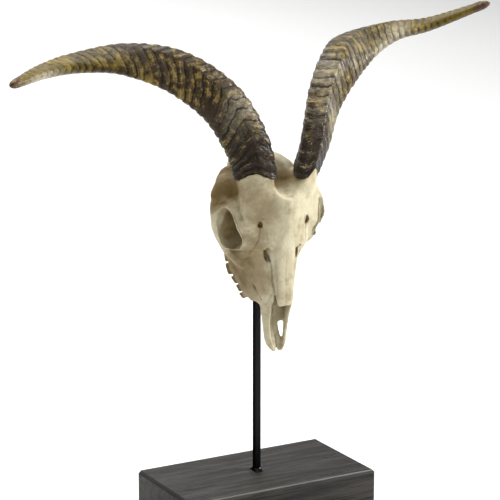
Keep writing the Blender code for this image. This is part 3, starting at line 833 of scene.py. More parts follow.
@dataclass
class Stand:
    """The block, the rod in its mortise and the bead of filler round the rod's foot."""

    length: float = 217.0
    depth: float = 121.0
    height: float = 50.0
    chamfer: float = 3.0
    arris: float = 0.35
    mortise: tuple[float, float, float] = (9.0, 15.0, 6.0)
    rod_side: float = 6.35
    rod_top: float = 326.0
    rod_arris: float = 0.45
    gap: float = 0.3
    bead_reach: float = 4.0
    bead_height: float = 3.0

    def cube(self, name: str, size: Sequence[float], bottom: float) -> Obj:
        """Adds a box standing over the origin.

        Args:
            name: The object's name.
            size: Its sides along X, Y and Z.
            bottom: The height of its underside.

        Returns:
            The box, with its size in its mesh.
        """
        deselect_all()
        bpy.ops.mesh.primitive_cube_add(size=1.0, location=(0, 0, (bottom + size[2] / 2) * MM))
        obj = bpy.context.object
        obj.name = obj.data.name = name
        obj.scale = [side * MM for side in size]
        bpy.ops.object.transform_apply(location=True, rotation=True, scale=True)
        return obj

    def soften(self, obj: Obj, width: float, angle: float) -> None:
        """Rounds the object's sharp edges.

        Args:
            obj: The object.
            width: The rounding's width.
            angle: Edges sharper than this many degrees are rounded.
        """
        step = obj.modifiers.new("Arris", "BEVEL")
        step.width, step.segments = width * MM, 3
        step.limit_method, step.angle_limit = "ANGLE", math.radians(angle)
        apply_all(obj)

    def block(self) -> Obj:
        """Builds the chamfered block.

        Returns:
            The block.
        """
        obj = self.cube("wooden_block", (self.length, self.depth, self.height), 0.0)
        bpy.ops.object.mode_set(mode="EDIT")
        bpy.ops.mesh.select_mode(type="EDGE")
        bpy.ops.mesh.select_all(action="DESELECT")
        bm = bmesh.from_edit_mesh(obj.data)
        for edge in bm.edges:
            edge.select = max(v.co.z for v in edge.verts) > self.height * MM * 0.9
        bm.select_flush_mode()
        bmesh.update_edit_mesh(obj.data)
        bpy.ops.mesh.bevel(offset=self.chamfer * MM, segments=1, affect="EDGES")
        bpy.ops.object.mode_set(mode="OBJECT")
        width, length, deep = self.mortise
        hole = self.cube("mortise", (width, length, deep + 5.0), self.height - deep)
        boolean(obj, [hole], "DIFFERENCE")
        remove(hole)
        self.soften(obj, self.arris, 25)
        return obj

    def rod(self) -> Obj:
        """Builds the square rod.

        Returns:
            The rod.
        """
        foot = self.height - self.mortise[2] + self.gap
        obj = self.cube("square_rod", (self.rod_side, self.rod_side, self.rod_top - foot), foot)
        self.soften(obj, self.rod_arris, 30)
        return obj

    def bead(self) -> Obj:
        """Builds the bead of filler: it fills the mortise and rises round the rod.

        Returns:
            The bead.
        """
        half = self.rod_side / 2
        wide, long = self.mortise[0] / 2 - self.gap, self.mortise[1] / 2 - self.gap
        floor = self.height - self.mortise[2] + self.gap
        # Height, half width, half length and how nearly the ring is round
        profile = (
            (floor, wide, long, 0.35),
            (self.height - 0.2, wide, long, 0.35),
            (self.height + 0.5, wide - 0.1, long - 0.3, 0.5),
            (self.height + 1.3, half + self.bead_reach * 0.3, half + self.bead_reach * 0.62, 0.7),
            (self.height + 2.2, half + 1.1, half + 1.5, 0.8),
            (self.height + self.bead_height, half + 0.8, half + 0.85, 0.6),
        )
        rings = []
        for z, w, l, roundness in profile:
            ring = []
            for angle in np.linspace(0, 2 * math.pi, 48, endpoint=False):
                c, s = math.cos(angle), math.sin(angle)
                power = 0.25 + 0.5 * roundness
                x = math.copysign(abs(c) ** power, c) * w
                y = math.copysign(abs(s) ** power, s) * l
                lump = 1.0 + 0.03 * math.sin(3 * angle + z) * (z > self.height)
                ring.append((x * lump * MM, y * lump * MM, z * MM))
            rings.append(ring)
        obj = closed_loft("filler_bead", rings)
        side = self.rod_side + 0.2
        hole = self.cube("rod_room", (side, side, 60.0), self.height - 20)
        boolean(obj, [hole], "DIFFERENCE")
        remove(hole)
        return obj

    def build(self) -> None:
        """Makes and registers the three pieces."""
        wood = WoodFinish(self.length / 2, self.depth / 2, self.height, self.chamfer)
        black, rubbed = (0.035, 0.035, 0.035, 1.0), (0.12, 0.12, 0.12, 1.0)
        filler = SteelFinish("glossy_filler", black, rubbed, roughness=0.2)
        publish(self.block(), wood.shader(), Slot.WOOD, 30, "stand_base")
        publish(self.rod(), SteelFinish().shader(), Slot.STEEL, 30, "stand_rod")
        publish(self.bead(), filler.shader(), Slot.STEEL, 35, "stand_foot")


@dataclass
class Horn:
    """One horn: a keeled, ringed cone that sweeps out and back.

    A station holds how far out, back and up it is, half the width across the front face, the
    reach of the ridge in front and of the back, and where the front face looks, in degrees
    turned outwards and upwards.
    """

    side: Side
    stations: Rows = (
        (28, -48, 373, 22.5, 13.0, 11.0, 40, 0),
        (39, -41, 402, 22.5, 12.0, 10.5, 30, 6),
        (61, -25, 440, 23.0, 12.5, 10.5, 22, 12),
        (95, -6, 470, 23.0, 13.0, 10.5, 12, 32),
        (135, 17, 483, 22.0, 11.5, 9.5, 8, 60),
        (180, 27, 488, 16.5, 9.0, 8.0, 5, 76),
        (222, 18, 489, 10.0, 7.0, 6.3, 0, 82),
        (265, -7, 496, 5.0, 4.6, 4.2, 0, 84),
    )
    # How far each station's place departs from the pair's mean, one way on each side
    uneven: Rows = (
        (0, 0, 1),
        (-5, 0, 0),
        (-5, -4, 3),
        (0, -3, 4),
        (5, -4, 3),
        (4, -2, -4),
        (2, -4, -9),
        (-3, -2, -21.7),
    )
    pitch_base: float = 12.5
    pitch_tip: float = 6.5
    # The first groove, how near the tip the last may be, and each crest as a share of the pitch
    ring_first: float = 6.0
    ring_last: float = 4.0
    ring_crest: float = 0.45
    ring_height: float = 1.1
    groove_depth: float = 0.6
    fine_height: float = 0.22
    lump_height: float = 0.16
    lump_length: float = 7.0
    wobble_length: float = 16.0
    keel_height: float = 0.9
    chevron_drop: float = 0.62
    ridge_shift: float = 0.34
    tip_reach: float = 9.0
    dips: dict[Side, float] = field(default_factory=lambda: {Side.RIGHT: 11.0, Side.LEFT: 16.0})
    arches: dict[Side, float] = field(default_factory=lambda: {Side.RIGHT: 3.0, Side.LEFT: 7.0})
    arch_middle: float = 0.05
    arch_half: float = 0.7
    # Pale patches, painted highlights on the left horn and pale spots on the right one: share of
    # the length, how they face across and in front, reach, strength
    patches: dict[Side, Rows] = field(
        default_factory=lambda: {
            Side.RIGHT: ((0.91, -0.9, -0.3, 0.06, 1.0), (0.21, 0.5, 0.9, 0.05, 0.4)),
            Side.LEFT: (
                (0.62, -0.9, -0.1, 0.05, 1.0),
                (0.71, -0.7, 0.5, 0.05, 0.9),
                (0.53, -0.5, 0.85, 0.05, 0.4),
                (0.45, -0.3, 0.9, 0.035, 0.4),
                (0.33, 0.6, 0.8, 0.05, 0.6),
                (0.22, -0.3, 0.95, 0.05, 0.7),
            ),
        }
    )
    dip_fade: float = 45.0
    chevron_fade: float = 30.0
    row_step: float = 0.62
    columns: int = 104
    tip_rows: int = 11

    def __post_init__(self) -> None:
        """Works out the horn's curve and its lengths."""
        uneven = 1 if self.side is Side.RIGHT else -1
        table = np.array(self.stations, float)
        table[:, :3] += uneven * np.array(self.uneven, float)
        self.path = smooth_path(table, 240)
        steps = np.linalg.norm(np.diff(self.path[:, :3], axis=0), axis=1)
        self.lengths = np.concatenate([[0.0], np.cumsum(steps)])
        self.total = float(self.lengths[-1])

    def read(self, at: Array, columns: slice) -> Array:
        """The curve's columns at these lengths, one row each."""
        return np.stack([np.interp(at, self.lengths, c) for c in self.path.T[columns]], axis=-1)

    def frames(self, at: Array) -> tuple[Array, ...]:
        """The horn's own axes at places along it.

        Args:
            at: Lengths from the root.

        Returns:
            Centres, directions along, across and facing, and the three sizes.
        """
        sign = self.side.value
        row = self.read(at, slice(0, 8))
        way = (self.read(at + 1.0, slice(0, 3)) - self.read(at - 1.0, slice(0, 3))) * (sign, 1, 1)
        way /= np.linalg.norm(way, axis=-1, keepdims=True)
        out, up = np.radians(row[..., 6]), np.radians(row[..., 7])
        face = (sign * np.sin(out) * np.cos(up), -np.cos(out) * np.cos(up), np.sin(up))
        face = np.stack(face, axis=-1)
        face -= way * (face * way).sum(axis=-1, keepdims=True)
        face /= np.linalg.norm(face, axis=-1, keepdims=True)
        across = np.cross(way, face) * -sign
        return row[..., :3] * (sign, 1, 1), way, across, face, row[..., 3:6]

    def levels(self) -> tuple[Array, Array, Array]:
        """The rings' grooves and crests along the horn.

        Returns:
            Places, heights there, and the grooves' places alone.
        """
        places, heights, grooves = [0.0], [0.0], [-7.0]
        at = self.ring_first
        while at < self.total - self.ring_last:
            share = at / self.total
            pitch = self.pitch_base + (self.pitch_tip - self.pitch_base) * share
            height = self.ring_height * (1.0 - 0.75 * share)
            places += [at, at + pitch * self.ring_crest]
            heights += [-self.groove_depth * height, height]
            grooves.append(at)
            at += pitch
        return np.array(places), np.array(heights), np.array(grooves)

    def relief(self, at: Array, places: Array, heights: Array) -> Array:
        """The rings' swell, rounded between grooves and crests.

        Args:
            at: Lengths from the root.
            places: The grooves' and crests' places.
            heights: Their heights.

        Returns:
            The height at each length.
        """
        i = np.clip(np.searchsorted(places, at, side="right") - 1, 0, len(places) - 2)
        t = (1 - np.cos(math.pi * ease(at, places[i], places[i + 1]))) / 2
        return heights[i] * (1 - t) + heights[i + 1] * t

    def shape(self) -> tuple[Array, dict[str, Array]]:
        """Works out the surface.

        Returns:
            Points by row and column in millimetres, and the values that the material reads.
        """
        rows = int(self.total / self.row_step)
        at = np.repeat(np.linspace(0.0, self.total, rows)[:, None], self.columns, axis=1)
        angle = np.linspace(0, 2 * math.pi, self.columns, endpoint=False)[None, :]
        u, v = np.cos(angle) + at * 0, np.sin(angle) + at * 0
        share = at / self.total
        off_ridge = np.abs(u - self.ridge_shift)
        fade = ease(at, 0, self.chevron_fade) * ease(self.total - at, 0, self.chevron_fade)
        drop = self.chevron_drop * off_ridge * self.frames(at)[4][..., 0] * fade
        centre, _, across, face, sizes = self.frames(at - drop * (0.9 + 0.1 * np.tanh(6 * v)))
        wide, front, back = (sizes[..., i] for i in range(3))
        fullness = 0.86 + 0.2 * ease(off_ridge, 0.75, 0) * ease(v, 0, 0.25)
        deep = np.where(v > 0, front * fullness, back)
        places, heights, grooves = self.levels()
        ring = np.interp(at, grooves, np.arange(len(grooves)))
        spokes = across * (u * wide)[..., None] + face * (v * deep)[..., None]
        rough = (centre + spokes).reshape(-1, 3)
        wobble = ripple(rough, self.wobble_length, 11).reshape(at.shape)
        height = self.relief(at + 0.7 * wobble * fade, places, heights)
        small = self.fine_height * np.cos(2 * math.pi * (ring * 3.0 + 0.35 * wobble))
        small *= 1.0 - 0.8 * share
        lumps = ripple(rough, self.lump_length, 5).reshape(at.shape) * self.lump_height
        lumps *= 1.0 - 0.7 * share
        keel = self.keel_height * bell(u - self.ridge_shift, 0.13) * (v > 0) * (1.0 - share)
        swell = 1.0 + (height * (0.75 + 0.25 * v) + small + lumps) / wide
        points = centre + spokes * swell[..., None] + face * (keel * fade)[..., None]
        arch = np.clip(1 - ((u - self.arch_middle) / self.arch_half) ** 2, 0, 1)
        dip = self.dips[self.side] * ease(u, 0.1, 1) - self.arches[self.side] * arch
        points[..., 2] -= dip * ease(at, self.dip_fade, 0)
        # The pale patches: painted highlights on the left horn, pale spots on the right one
        worn = np.zeros(at.shape)
        for place, over, ahead, reach, strength in self.patches[self.side]:
            worn += strength * bell(share - place, reach) * np.clip(u * over + v * ahead, 0, 1) ** 2
        return points, {"share": share, "ring": ring, "cross": u, "front": v, "worn": worn}

    def ends(self, first: Array) -> tuple[list[Array], list[Array]]:
        """The rows that close the horn.

        Args:
            first: The points of the root's row.

        Returns:
            The rows inside the root, from its middle out, and the rows of the rounded tip.
        """
        centre, way, across, face, sizes = self.frames(np.array([self.total]))
        angle = np.linspace(0, 2 * math.pi, self.columns, endpoint=False)
        u, v = np.cos(angle)[:, None], np.sin(angle)[:, None]
        spokes = across * u * sizes[0, 0] + face * v * np.where(v > 0, sizes[0, 1], sizes[0, 2])
        tip = []
        for t in np.linspace(0.0, 1.0, self.tip_rows + 1)[1:]:
            scale = math.cos(t * math.pi / 2) ** 0.6 if t < 1 else 0.02
            tip.append(centre + way * self.tip_reach * t + spokes * scale)
        root = first.mean(axis=0)
        return [root + (first - root) * scale for scale in (0.02, 0.5, 0.9)], tip

    def build(self, shader: Shader) -> None:
        """Makes and registers the horn.

        Args:
            shader: Its finish.
        """
        points, values = self.shape()
        inner, tip = self.ends(points[0])
        grid = np.concatenate([np.array(inner), points, np.array(tip)]) * MM
        rows = len(grid)
        deselect_all()
        bpy.ops.mesh.primitive_grid_add(
            x_subdivisions=self.columns, y_subdivisions=rows - 1, size=1.0
        )
        obj = bpy.context.object
        obj.name = obj.data.name = "ringed_horn_" + self.side.word
        flat = points_of(obj)
        row = np.rint((flat[:, 1] + 0.5) * (rows - 1)).astype(int)
        column = np.rint((flat[:, 0] + 0.5) * self.columns).astype(int) % self.columns
        put_points(obj, grid[row, column])
        body = np.clip(row - len(inner), 0, len(points) - 1)
        for name, table in values.items():
            put_attribute(obj, name, table[body, column])
        activate(obj)
        bpy.ops.object.mode_set(mode="EDIT")
        bpy.ops.mesh.select_all(action="SELECT")
        bpy.ops.mesh.remove_doubles(threshold=1e-6)
        bpy.ops.mesh.select_all(action="DESELECT")
        bpy.ops.mesh.select_non_manifold()
        bpy.ops.mesh.edge_face_add()
        bpy.ops.object.mode_set(mode="OBJECT")
        face_out(obj)
        publish(obj, shader, Slot.HORN, 60, "horn_" + self.side.word)


@dataclass
class Teeth:
    """The upper cheek teeth: one ridged crown, copied along both rows."""

    # Where each begins along the skull, its length and its width
    rows: Rows = (
        (58, 7, 7),
        (65.5, 8, 8.5),
        (74, 9, 9.5),
        (84, 12, 11),
        (97, 14, 12),
        (112, 16, 11.5),
    )
    # The rows' outer edge, as along and x
    outer: Rows = (
        (54, 20),
        (61, 24.5),
        (68, 26.5),
        (76, 29.5),
        (82, 32),
        (89, 34.5),
        (101, 34.7),
        (112, 34),
        (128, 32),
    )
    gum: float = 4.0
    bite: float = -6.6
    lean: float = 3.0
    # The jaw's edge between the crowns, and how far they stand out of its side
    margin: float = -3.2
    stand_out: float = 0.4
    gap: float = 0.12
    cuts: int = 13
    seed: int = 7
    # The crown's forms, as shares of its half width or of its height
    rib: float = 0.13
    cleft: float = 0.20
    cusp: float = 0.13
    pit: float = 0.10
    rounding: float = 0.10

    def edge(self, along: Any) -> Any:
        """How far out the rows' outer edge is at places along the skull."""
        return np.interp(along, *zip(*self.outer))

    def crown(self) -> Obj:
        """Models one crown: length on X and width on Y from -1 to 1, root at 0 and bite at 1.

        Returns:
            The crown.
        """
        deselect_all()
        bpy.ops.mesh.primitive_cube_add(size=2.0)
        obj = bpy.context.object
        bpy.ops.object.mode_set(mode="EDIT")
        bpy.ops.mesh.subdivide(number_cuts=self.cuts)
        bpy.ops.object.mode_set(mode="OBJECT")
        x, y, z = points_of(obj).T
        high = (z + 1) / 2
        u, v = x * np.sqrt(1 - 0.05 * y**2), y * np.sqrt(1 - 0.12 * x**2)
        lobes = np.sin(math.pi * u) ** 2
        ribs = self.rib * lobes * np.clip(v, 0, 1)
        cleft = self.cleft * bell(u, 0.22) * np.clip(-v, 0, 1)
        cusps = self.cusp * lobes * np.abs(v - 0.1) ** 1.5
        pits = self.pit * bell(np.abs(u) - 0.48, 0.26) * bell(v - 0.12, 0.2)
        rounding = self.rounding * np.clip(np.hypot(u, v) - 0.72, 0, 1) ** 2
        taper = 0.95 + 0.05 * ease(high, 0, 0.45)
        top = high + (cusps - pits - rounding) * ease(high, 0.75, 1) ** 2
        put_points(obj, np.column_stack([u * taper, (v - ribs + cleft) * taper, top]))
        return obj

    def build(self) -> Obj:
        """Sets copies of the crown along both rows.

        Returns:
            All crowns as one mesh.
        """
        crown = self.crown()
        x, y, z = points_of(crown).T
        rng = np.random.default_rng(self.seed)
        crowns = []
        for side in Side:
            for begins, length, width in self.rows:
                middle = begins + length / 2
                centre = float(self.edge(middle)) - width / 2 + rng.uniform(-0.5, 0.3)
                slope = float(self.edge(middle + 3) - self.edge(middle - 3)) / 6
                swing = math.radians(rng.uniform(-3, 3)) + slope
                u, v = x * (length - self.gap) / 2, y * width / 2
                u, v = u * math.cos(swing) - v * math.sin(swing) * 0.4, v + u * math.sin(swing)
                rise = self.gum + (self.bite + rng.uniform(-0.5, 0.4) - self.gum) * z
                out = side.value * (centre + v - self.lean * (1 - z))
                crowns.append(twin(crown, "crown"))
                put_points(crowns[-1], skull_points(np.column_stack([out, middle + u, rise])))
        remove(crown)
        both = joined(crowns)
        face_out(both)
        return both

    def bared(self, places: Array) -> Array:
        """Draws the jaw's edge in and up, so that the crowns stand out of it.

        Args:
            places: Places on the upper jaw, as rows of x, along and rise.

        Returns:
            The places moved.
        """
        x, along, rise = places.T
        here = ease(along, 54, 58) * ease(along, 133, 129)
        over = np.clip(np.abs(x) - self.edge(along) + self.stand_out, 0, None) * ease(rise, 10, 4)
        below = np.clip(self.margin - rise, 0, None) * (np.abs(x) > 12)
        return np.column_stack([x - np.sign(x) * over * here, along, rise + below * here])

    def marks(self, places: Array, falling: Array) -> tuple[Array, Array]:
        """How stained the teeth are, and how much painted shade their downward-facing bite gets.

        Args:
            places: Places in the skull's frame.
            falling: How far each place's surface looks down, 0 to 1.

        Returns:
            The stain, and the hollowness that the material turns into painted shade.
        """
        x, along, rise = np.abs(places[:, 0]), places[:, 1], places[:, 2]
        tooth = ease(rise, self.margin + 0.6, self.margin - 0.2)
        tooth *= (along > 56) * (along < 129) * (x > 12)
        # The bite's downward-facing ends: painted shade, laid through the hollows
        pit = ease(rise, self.bite + 0.2, self.bite + 1.2) * np.clip(falling * 3 - 1, 0, 1)
        return 0.28 * tooth, 1.4 * tooth * pit


@dataclass
class Skull:
    """The bones: one skin run over the solids' bones, worked finer, then parted into its bones."""

    voxel: float = 0.8
    swelling: float = 0.25
    smoothing: int = 9
    # How often the skin is averaged to find its hollows, and how often these are
    blurring: int = 40
    calming: int = 3
    # The bones' unevenness: wavelength, seed and height
    unevenness: tuple[tuple[float, int, float], ...] = ((9.0, 3, 0.14), (3.6, 4, 0.06))
    softened: tuple[str, ...] = ("cranium", "maxilla")
    thin: tuple[str, ...] = ("nasal_right", "nasal_left", "premaxilla_right", "premaxilla_left")
    # The face's hind border as along and rise, and where the face begins along the snout
    face_edge: Rows = ((84, 90), (96, 50), (105, 22), (131, 15), (131, -40))
    face_front: float = 44.15
    # The waves of its seam: height, radians for a millimetre across, and phase
    face_waves: Rows = ((0.5, 0.62, 0.0), (0.3, 1.5, 1.0), (0.2, 2.3, 0.0))
    # The nasal bones as along, half width and rise of their lower edge
    nasal_widths: Rows = (
        (38, 7.9, 33),
        (40, 7.9, 33),
        (46, 10.2, 35.5),
        (58, 11.0, 39),
        (72, 11.5, 43.5),
        (88, 11.7, 50),
        (102, 10.7, 57),
        (112.2, 7.2, 62),
    )
    # Seams as seen from above: strength, half width, then points of x and along
    seams_above: tuple[tuple[float, float, Rows], ...] = (
        (0.45, 0.5, ((0, 40), (0, 82))),
        (0.15, 0.5, ((0, 82), (0.3, 135))),
        (0.9, 0.5, ((0, -2), (0, 16))),
        (
            0.16,
            0.6,
            (
                (-11.6, 92),
                (-10.6, 102),
                (-6.5, 111.5),
                (0, 113),
                (6.5, 111.5),
                (10.6, 102),
                (11.6, 92),
            ),
        ),
    )
    # Across and up, as seen from the front on the skull's right; the left side is the mirror image
    quarter: Rows = ((0.870, -0.194, 0.464), (0.113, 0.979, 0.197))
    quarter_back: tuple[float, float, float] = (-0.477, -0.123, 0.871)
    # Seams and grooves in that view: strength, half width, depth, then points
    seams_aside: tuple[tuple[float, float, float, Rows], ...] = (
        (0.5, 0.9, 0.5, ((-15.5, 125), (-17.5, 112), (-22, 104), (-27, 99))),
        (1.0, 1.1, 0.7, ((-12, 101), (-8.7, 96), (-6.3, 90))),
        (0.75, 0.8, 0.5, ((-6.3, 90), (-4.6, 82), (-4.4, 72), (-2.4, 62), (-1.5, 55))),
        (0.35, 1.0, 0.3, ((-1.1, 92), (0.4, 74), (1.4, 53))),
        (0.5, 0.7, 0.5, ((-23.7, 68), (-19.4, 60), (-15.1, 52))),
        (0.4, 0.7, 0.4, ((-2.2, 62), (-6.5, 54), (-10.8, 47))),
    )
    # Brown smudges in the same view, without mirroring, partly stains and partly painted shade:
    # place, reach and strength, below 0 where painted light lessens the painted shade
    smudges: Rows = (
        (-16, 127, 24, 0.36),
        (-22, 160, 18, 0.30),
        (0, 138, 12, 0.22),
        (35, 128, 8, 0.30),
        (-24, 98, 13, 0.34),
        (-55, 145, 8, 0.22),
        (-46, 84, 13, 0.3),
        (1, 17, 7, -0.6),
        (9, 32, 6, -0.3),
        (-26, 78, 26, 0.22),
        (-36, 68, 12, 0.22),
        (-2, 74, 8, 0.32),
        (11, 58, 10, 0.30),
        (-2, 8, 16, 0.36),
    )
    # How brown the cheeks, the temples and the valley behind the crest are: painted shade, on the
    # cheeks partly the bone's tone
    browns: tuple[float, float, float] = (0.42, 0.95, 0.9)
    roof: float = 2.4
    # The floor of the clefts ahead of the face, as along and rise
    fissure_floor: Rows = ((8, 1.4), (20, 2.4), (29, 4.0), (43, 7.0))
    # The eye socket, as its middle and its reach, and the way that it opens
    socket: Rows = ((42.0, 122.0, 33.0), (17.0, 19.0, 17.0), (0.71, -0.15, 0.69))
    socket_mouth: tuple[float, float, float] = (48.0, 122.0, 38.5)
    teeth: Teeth = field(default_factory=Teeth)

    def whole(self) -> Obj:
        """Joins copies of the solids' bones under one fine skin.

        Returns:
            The skin.
        """
        copies = []
        for name in (*self.softened, *self.thin):
            bm = bmesh.new()
            bm.from_mesh(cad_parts[name].data)
            bmesh.ops.remove_doubles(bm, verts=bm.verts, dist=1e-6)
            copy = new_object("copy_" + name, bm)
            if name in self.softened:
                soften = copy.modifiers.new("Soften", "SUBSURF")
                soften.levels = soften.render_levels = 1
                apply_all(copy)
            put_points(copy, points_of(copy) + normals_of(copy) * self.swelling * MM)
            if name == "maxilla":
                put_points(copy, skull_points(self.teeth.bared(skull_places(points_of(copy)))))
            copies.append(copy)
        rings = []
        for along, rise in self.fissure_floor:
            corners = ((2.5, rise), (-10, rise + 0.4), (-10, rise - 1.2), (2.5, rise - 1.6))
            rings.append(skull_points([(x, along, r) for x, r in corners]))
        copies.append(closed_loft("fissure_floor", rings))
        skin = joined(copies)
        remesh = skin.modifiers.new("Remesh", "REMESH")
        remesh.mode, remesh.voxel_size = "VOXEL", self.voxel * MM
        apply_all(skin)
        put_points(skin, relaxed(skin, points_of(skin), self.smoothing))
        put_points(skin, points_of(skin) - normals_of(skin) * self.swelling * MM)
        return skin

    def seams(self, obj: Obj) -> tuple[Array, Array]:
        """How dark and how deep each vertex is by the seams and grooves.

        Args:
            obj: A piece of the skull.

        Returns:
            The darkness, 0 to 1, and the depth in millimetres.
        """
        places, normals = skull_places(points_of(obj)), normals_of(obj)
        wander = np.column_stack([ripple(places, 6.0, 21), ripple(places, 6.0, 22)]) * 0.3
        up = ease(normals @ RISE, 0, 0.25)
        dark, deep = np.zeros(len(places)), np.zeros(len(places))
        for strength, half, line in self.seams_above:
            near = bell(line_distance(places[:, :2] + wander, line), half) * up
            dark, deep = np.maximum(dark, strength * near), np.maximum(deep, 0.25 * strength * near)
        mirror = np.ones(places.shape)
        mirror[:, 0] = -np.sign(places[:, 0])
        local = np.column_stack([normals[:, 0], normals @ ALONG, normals @ RISE]) * mirror
        facing = ease(local @ self.quarter_back, 0.1, 0.3)
        seen = (places * mirror) @ np.transpose(self.quarter)
        for strength, half, depth, line in self.seams_aside:
            near = bell(line_distance(seen + wander, line), half) * facing
            dark, deep = np.maximum(dark, strength * near), np.maximum(deep, depth * near)
        return dark, deep

    def work(self, skin: Obj) -> None:
        """Adds the forehead's roof shape and the fine relief to the skin.

        Args:
            skin: The whole skull's skin.
        """
        points, normals = points_of(skin), normals_of(skin)
        x, along, _ = skull_places(points).T
        flank = 1 - np.exp(-(np.hypot(x, 1.5) - 1.5) / 11)
        flank *= ease(along, 96, 110) * ease(along, 142, 128) * ease(normals @ RISE, 0.2, 0.6)
        depth = -self.roof * flank - self.seams(skin)[1]
        depth += sum(ripple(points / MM, long, seed) * high for long, seed, high in self.unevenness)
        put_points(skin, points + normals * (depth * MM)[:, None])

    def plate(self, name: str, front: float) -> Obj:
        """Makes a closed body across the skull, ahead of the wavy seam.

        Args:
            name: Its name.
            front: Where it begins along the skull.

        Returns:
            The body.
        """
        rows = []
        for x in np.linspace(-90, 90, 181):
            wave = sum(high * math.sin(fast * x + phase) for high, fast, phase in self.face_waves)
            edge = [(along + wave, rise) for along, rise in self.face_edge]
            rows.append(skull_points([(x, *p) for p in [(front, 90), *edge, (front, -40)]]))
        return closed_loft(name, rows)

    def column(self, name: str, levels: Iterable[tuple[float, float, float, float]]) -> Obj:
        """Makes a closed body from the middle plane out to one side, with four corners throughout.

        Args:
            name: Its name.
            levels: Rows of along, x of the outer side, and rise of the under and upper side.

        Returns:
            The body.
        """
        rings = []
        for along, x, low, high in levels:
            corners = ((0.0, low), (x, low), (x, high), (0.0, high))
            rings.append(skull_points([(across, along, rise) for across, rise in corners]))
        return closed_loft(name, rings)

    def build(self, shader: Shader) -> None:
        """Makes, parts and registers the bones.

        Args:
            shader: Their finish.
        """
        skin = self.whole()
        self.work(skin)
        points = points_of(skin)
        blurred = relaxed(skin, points, self.blurring)
        # Where the skin lies below its blurred copy: the hollows, which the material darkens as
        # painted shade
        hollow = ((blurred - points) * normals_of(skin)).sum(axis=1) / MM
        hollow = relaxed(skin, hollow, self.calming)
        tree = KDTree(len(points))
        for i, point in enumerate(points):
            tree.insert(point, i)
        tree.balance()
        face, front = self.plate("face_region", self.face_front), self.plate("front_region", -30.0)
        crowns = self.teeth.build()
        nasals, snouts = [], []
        for side in Side:
            wide = [(a, side.value * half, low - 0.2, 95) for a, half, low in self.nasal_widths]
            nasals.append(self.column("nasal_region_" + side.word, wide))
            ahead = [(a, side.value * 40, -40, 90) for a in (-30, self.face_front)]
            snouts.append(self.column("snout_region_" + side.word, ahead))
        # For each node the bodies that its bone is inside of and those that it is outside of
        plans = [("cranium", [], [front, *nasals]), ("maxilla", [face], nasals)]
        for side, nasal, snout in zip(Side, nasals, snouts):
            plans.append(("nasal_" + side.word, [nasal], []))
            plans.append(("premaxilla_" + side.word, [snout], nasals))
        for node, kept, cut in plans:
            piece = twin(skin, node + "_bone")
            boolean(piece, kept, "INTERSECT")
            boolean(piece, cut, "DIFFERENCE")
            if node == "maxilla":
                boolean(piece, [crowns], "UNION")
            found = points_of(piece)
            nearest = np.array([tree.find(p)[1] for p in found])
            bitten, bite_shade = self.teeth.marks(skull_places(found), -normals_of(piece) @ RISE)
            put_attribute(piece, "hollow", hollow[nearest] + bite_shade)
            put_attribute(piece, "seam", self.seams(piece)[0])
            put_attribute(piece, "stain", self.stain(found) + bitten)
            publish(piece, shader, Slot.BONE, 50, node)
        remove(skin, crowns, face, front, *nasals, *snouts)

    def stain(self, points: Array) -> Array:
        """How brown the bone is by its place, partly stains and partly painted shade: cheeks,
        temples, behind the crest, smudges.

        Args:
            points: Points in metres.

        Returns:
            0 for clean bone to 1, partly stains and partly painted shade, and below 0 where painted
            light lessens the painted shade.
        """
        places = skull_places(points)
        x, along, rise = np.abs(places[:, 0]), places[:, 1], places[:, 2]
        under, low = ease(rise, 14, 2), ease(rise, 44, 28)
        wander = 4 * ripple(places, 14.0, 31)
        # Cheeks: browner on the face's lower sides, partly the bone's tone and partly painted shade
        edge = 106 + 40 * under + wander
        cheek = ease(x, 13, 21) * ease(rise, 46, 30) * ease(along, edge, edge - 14 - 36 * under)
        # Temples: painted shade, much stronger on the right side
        edge = 141 + (60 - x) * 0.35 - (wander * 2 + 6) * low
        temple_shade = ease(along, edge, edge + 7 + 22 * low) * ease(x, 18, 28) * ease(rise, 74, 60)
        temple_shade *= np.where(places[:, 0] < 0, np.maximum(ease(rise, -6, 18), 0.25), 0.2)
        # Behind the crest, between the horns: painted shade
        valley_shade = ease(np.abs(along - 162), 13, 0) * ease(x, 24, 18) * ease(rise, 40, 55)
        # Eye socket: painted shade in its hind part, and painted light lessening it in its front
        # part
        middle, reach, opens = (np.array(row) for row in self.socket)
        folded = np.column_stack([x, along, rise])
        deep = ease((self.socket_mouth - folded) @ opens, 0, 5)
        deep *= ease(np.linalg.norm((folded - middle) / reach, axis=1), 1.15, 0.95)
        socket = 0.7 * ease(along, 112, 124) - 0.35 * ease(along, 116, 106)
        total = sum(brown * area for brown, area in zip(self.browns, (cheek, temple_shade, valley_shade)))
        total = total + socket * deep
        # Smudges: partly stains and partly painted shade; those below 0 lessen the painted shade
        seen = places @ np.transpose(self.quarter)
        for across, up, reach, strength in self.smudges:
            total += strength * bell(np.hypot(seen[:, 0] - across, seen[:, 1] - up), reach)
        return np.clip(total, -0.6, 1)


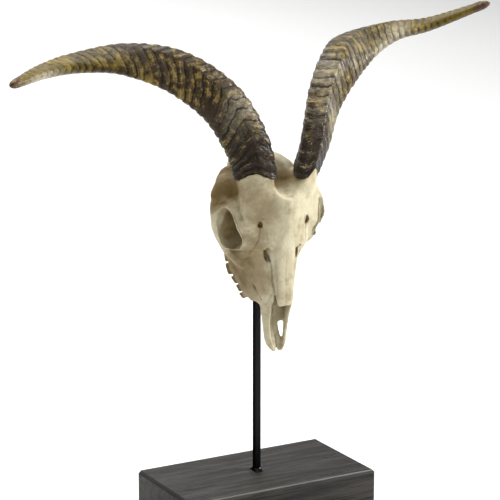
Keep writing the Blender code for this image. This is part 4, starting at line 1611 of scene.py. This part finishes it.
@dataclass
class Studio:
    """The pale floor, the soft lights and the camera at the photograph's angle."""

    turn: float = -29.3
    tilt: float = 13.1
    distance: float = 2077.0
    aim_across: float = -6.9
    aim_height: float = 284.4
    lens: float = 147.6
    world: float = 0.3
    floor_side: float = 14.0
    # Each light's name, place and aim in metres, side in metres and power in watts
    lights: tuple[tuple[Any, ...], ...] = (
        ("key", (1.9, -1.0, 1.3), (0.0, 0.0, 0.3), 0.8, 62.0),
        ("overhead", (0.1, 0.6, 2.7), (0.0, 0.2, 0.0), 1.8, 62.0),
        ("fill", (-1.9, -1.0, 0.7), (0.0, 0.0, 0.3), 1.2, 5.5),
        ("backdrop", (0.0, 4.6, 2.8), (0.0, 4.6, 0.0), 4.0, 172.0),
    )

    def camera(self) -> None:
        """Sets the camera."""
        a, t = math.radians(self.turn), math.radians(self.tilt)
        back = Vector((math.sin(a) * math.cos(t), -math.cos(a) * math.cos(t), math.sin(t)))
        right = Vector((math.cos(a), math.sin(a), 0.0))
        target = (right * self.aim_across + Vector((0, 0, self.aim_height))) * MM
        data = bpy.data.cameras.new("camera")
        data.lens, data.sensor_width, data.clip_end = self.lens, 36.0, 50.0
        camera = bpy.data.objects.new("camera", data)
        camera.location = target + back * self.distance * MM
        camera.rotation_euler = back.to_track_quat("Z", "Y").to_euler()
        bpy.context.scene.collection.objects.link(camera)
        bpy.context.scene.camera = camera

    def light(
        self, name: str, place: Sequence[float], aim: Sequence[float], size: float, power: float
    ) -> None:
        """Adds a square soft light.

        Args:
            name: Its name.
            place: Where it hangs, in metres.
            aim: The point that it faces, in metres.
            size: Its side, in metres.
            power: Its power, in watts.
        """
        data = bpy.data.lights.new(name, "AREA")
        data.shape, data.size, data.energy = "SQUARE", size, power
        lamp = bpy.data.objects.new(name, data)
        lamp.location = place
        lamp.rotation_euler = (Vector(place) - Vector(aim)).to_track_quat("Z", "Y").to_euler()
        bpy.context.scene.collection.objects.link(lamp)

    def build(self) -> None:
        """Makes the floor, the world, the lights and the camera."""
        deselect_all()
        bpy.ops.mesh.primitive_plane_add(size=self.floor_side, location=(0, 0, -0.0005))
        floor = bpy.context.object
        floor.name = "floor"
        FloorFinish().shader().dress(floor)
        world = bpy.data.worlds.new("studio")
        world.use_nodes = True
        background = world.node_tree.nodes["Background"]
        background.inputs["Color"].default_value = (1.0, 0.99, 0.975, 1.0)
        background.inputs["Strength"].default_value = self.world
        bpy.context.scene.world = world
        bpy.context.scene.view_settings.view_transform = "Standard"
        for row in self.lights:
            self.light(*row)
        self.camera()
        log.info("studio: floor, %d lights and the camera", len(self.lights))


def main() -> None:
    """Builds the scene in order."""
    logging.basicConfig(level=logging.INFO, format="%(name)s: %(message)s")
    Studio().build()
    Stand().build()
    horn = HornFinish().shader()
    for side in Side:
        Horn(side).build(horn)
    Skull().build(BoneFinish().shader())


if __name__ == "__main__":
    main()
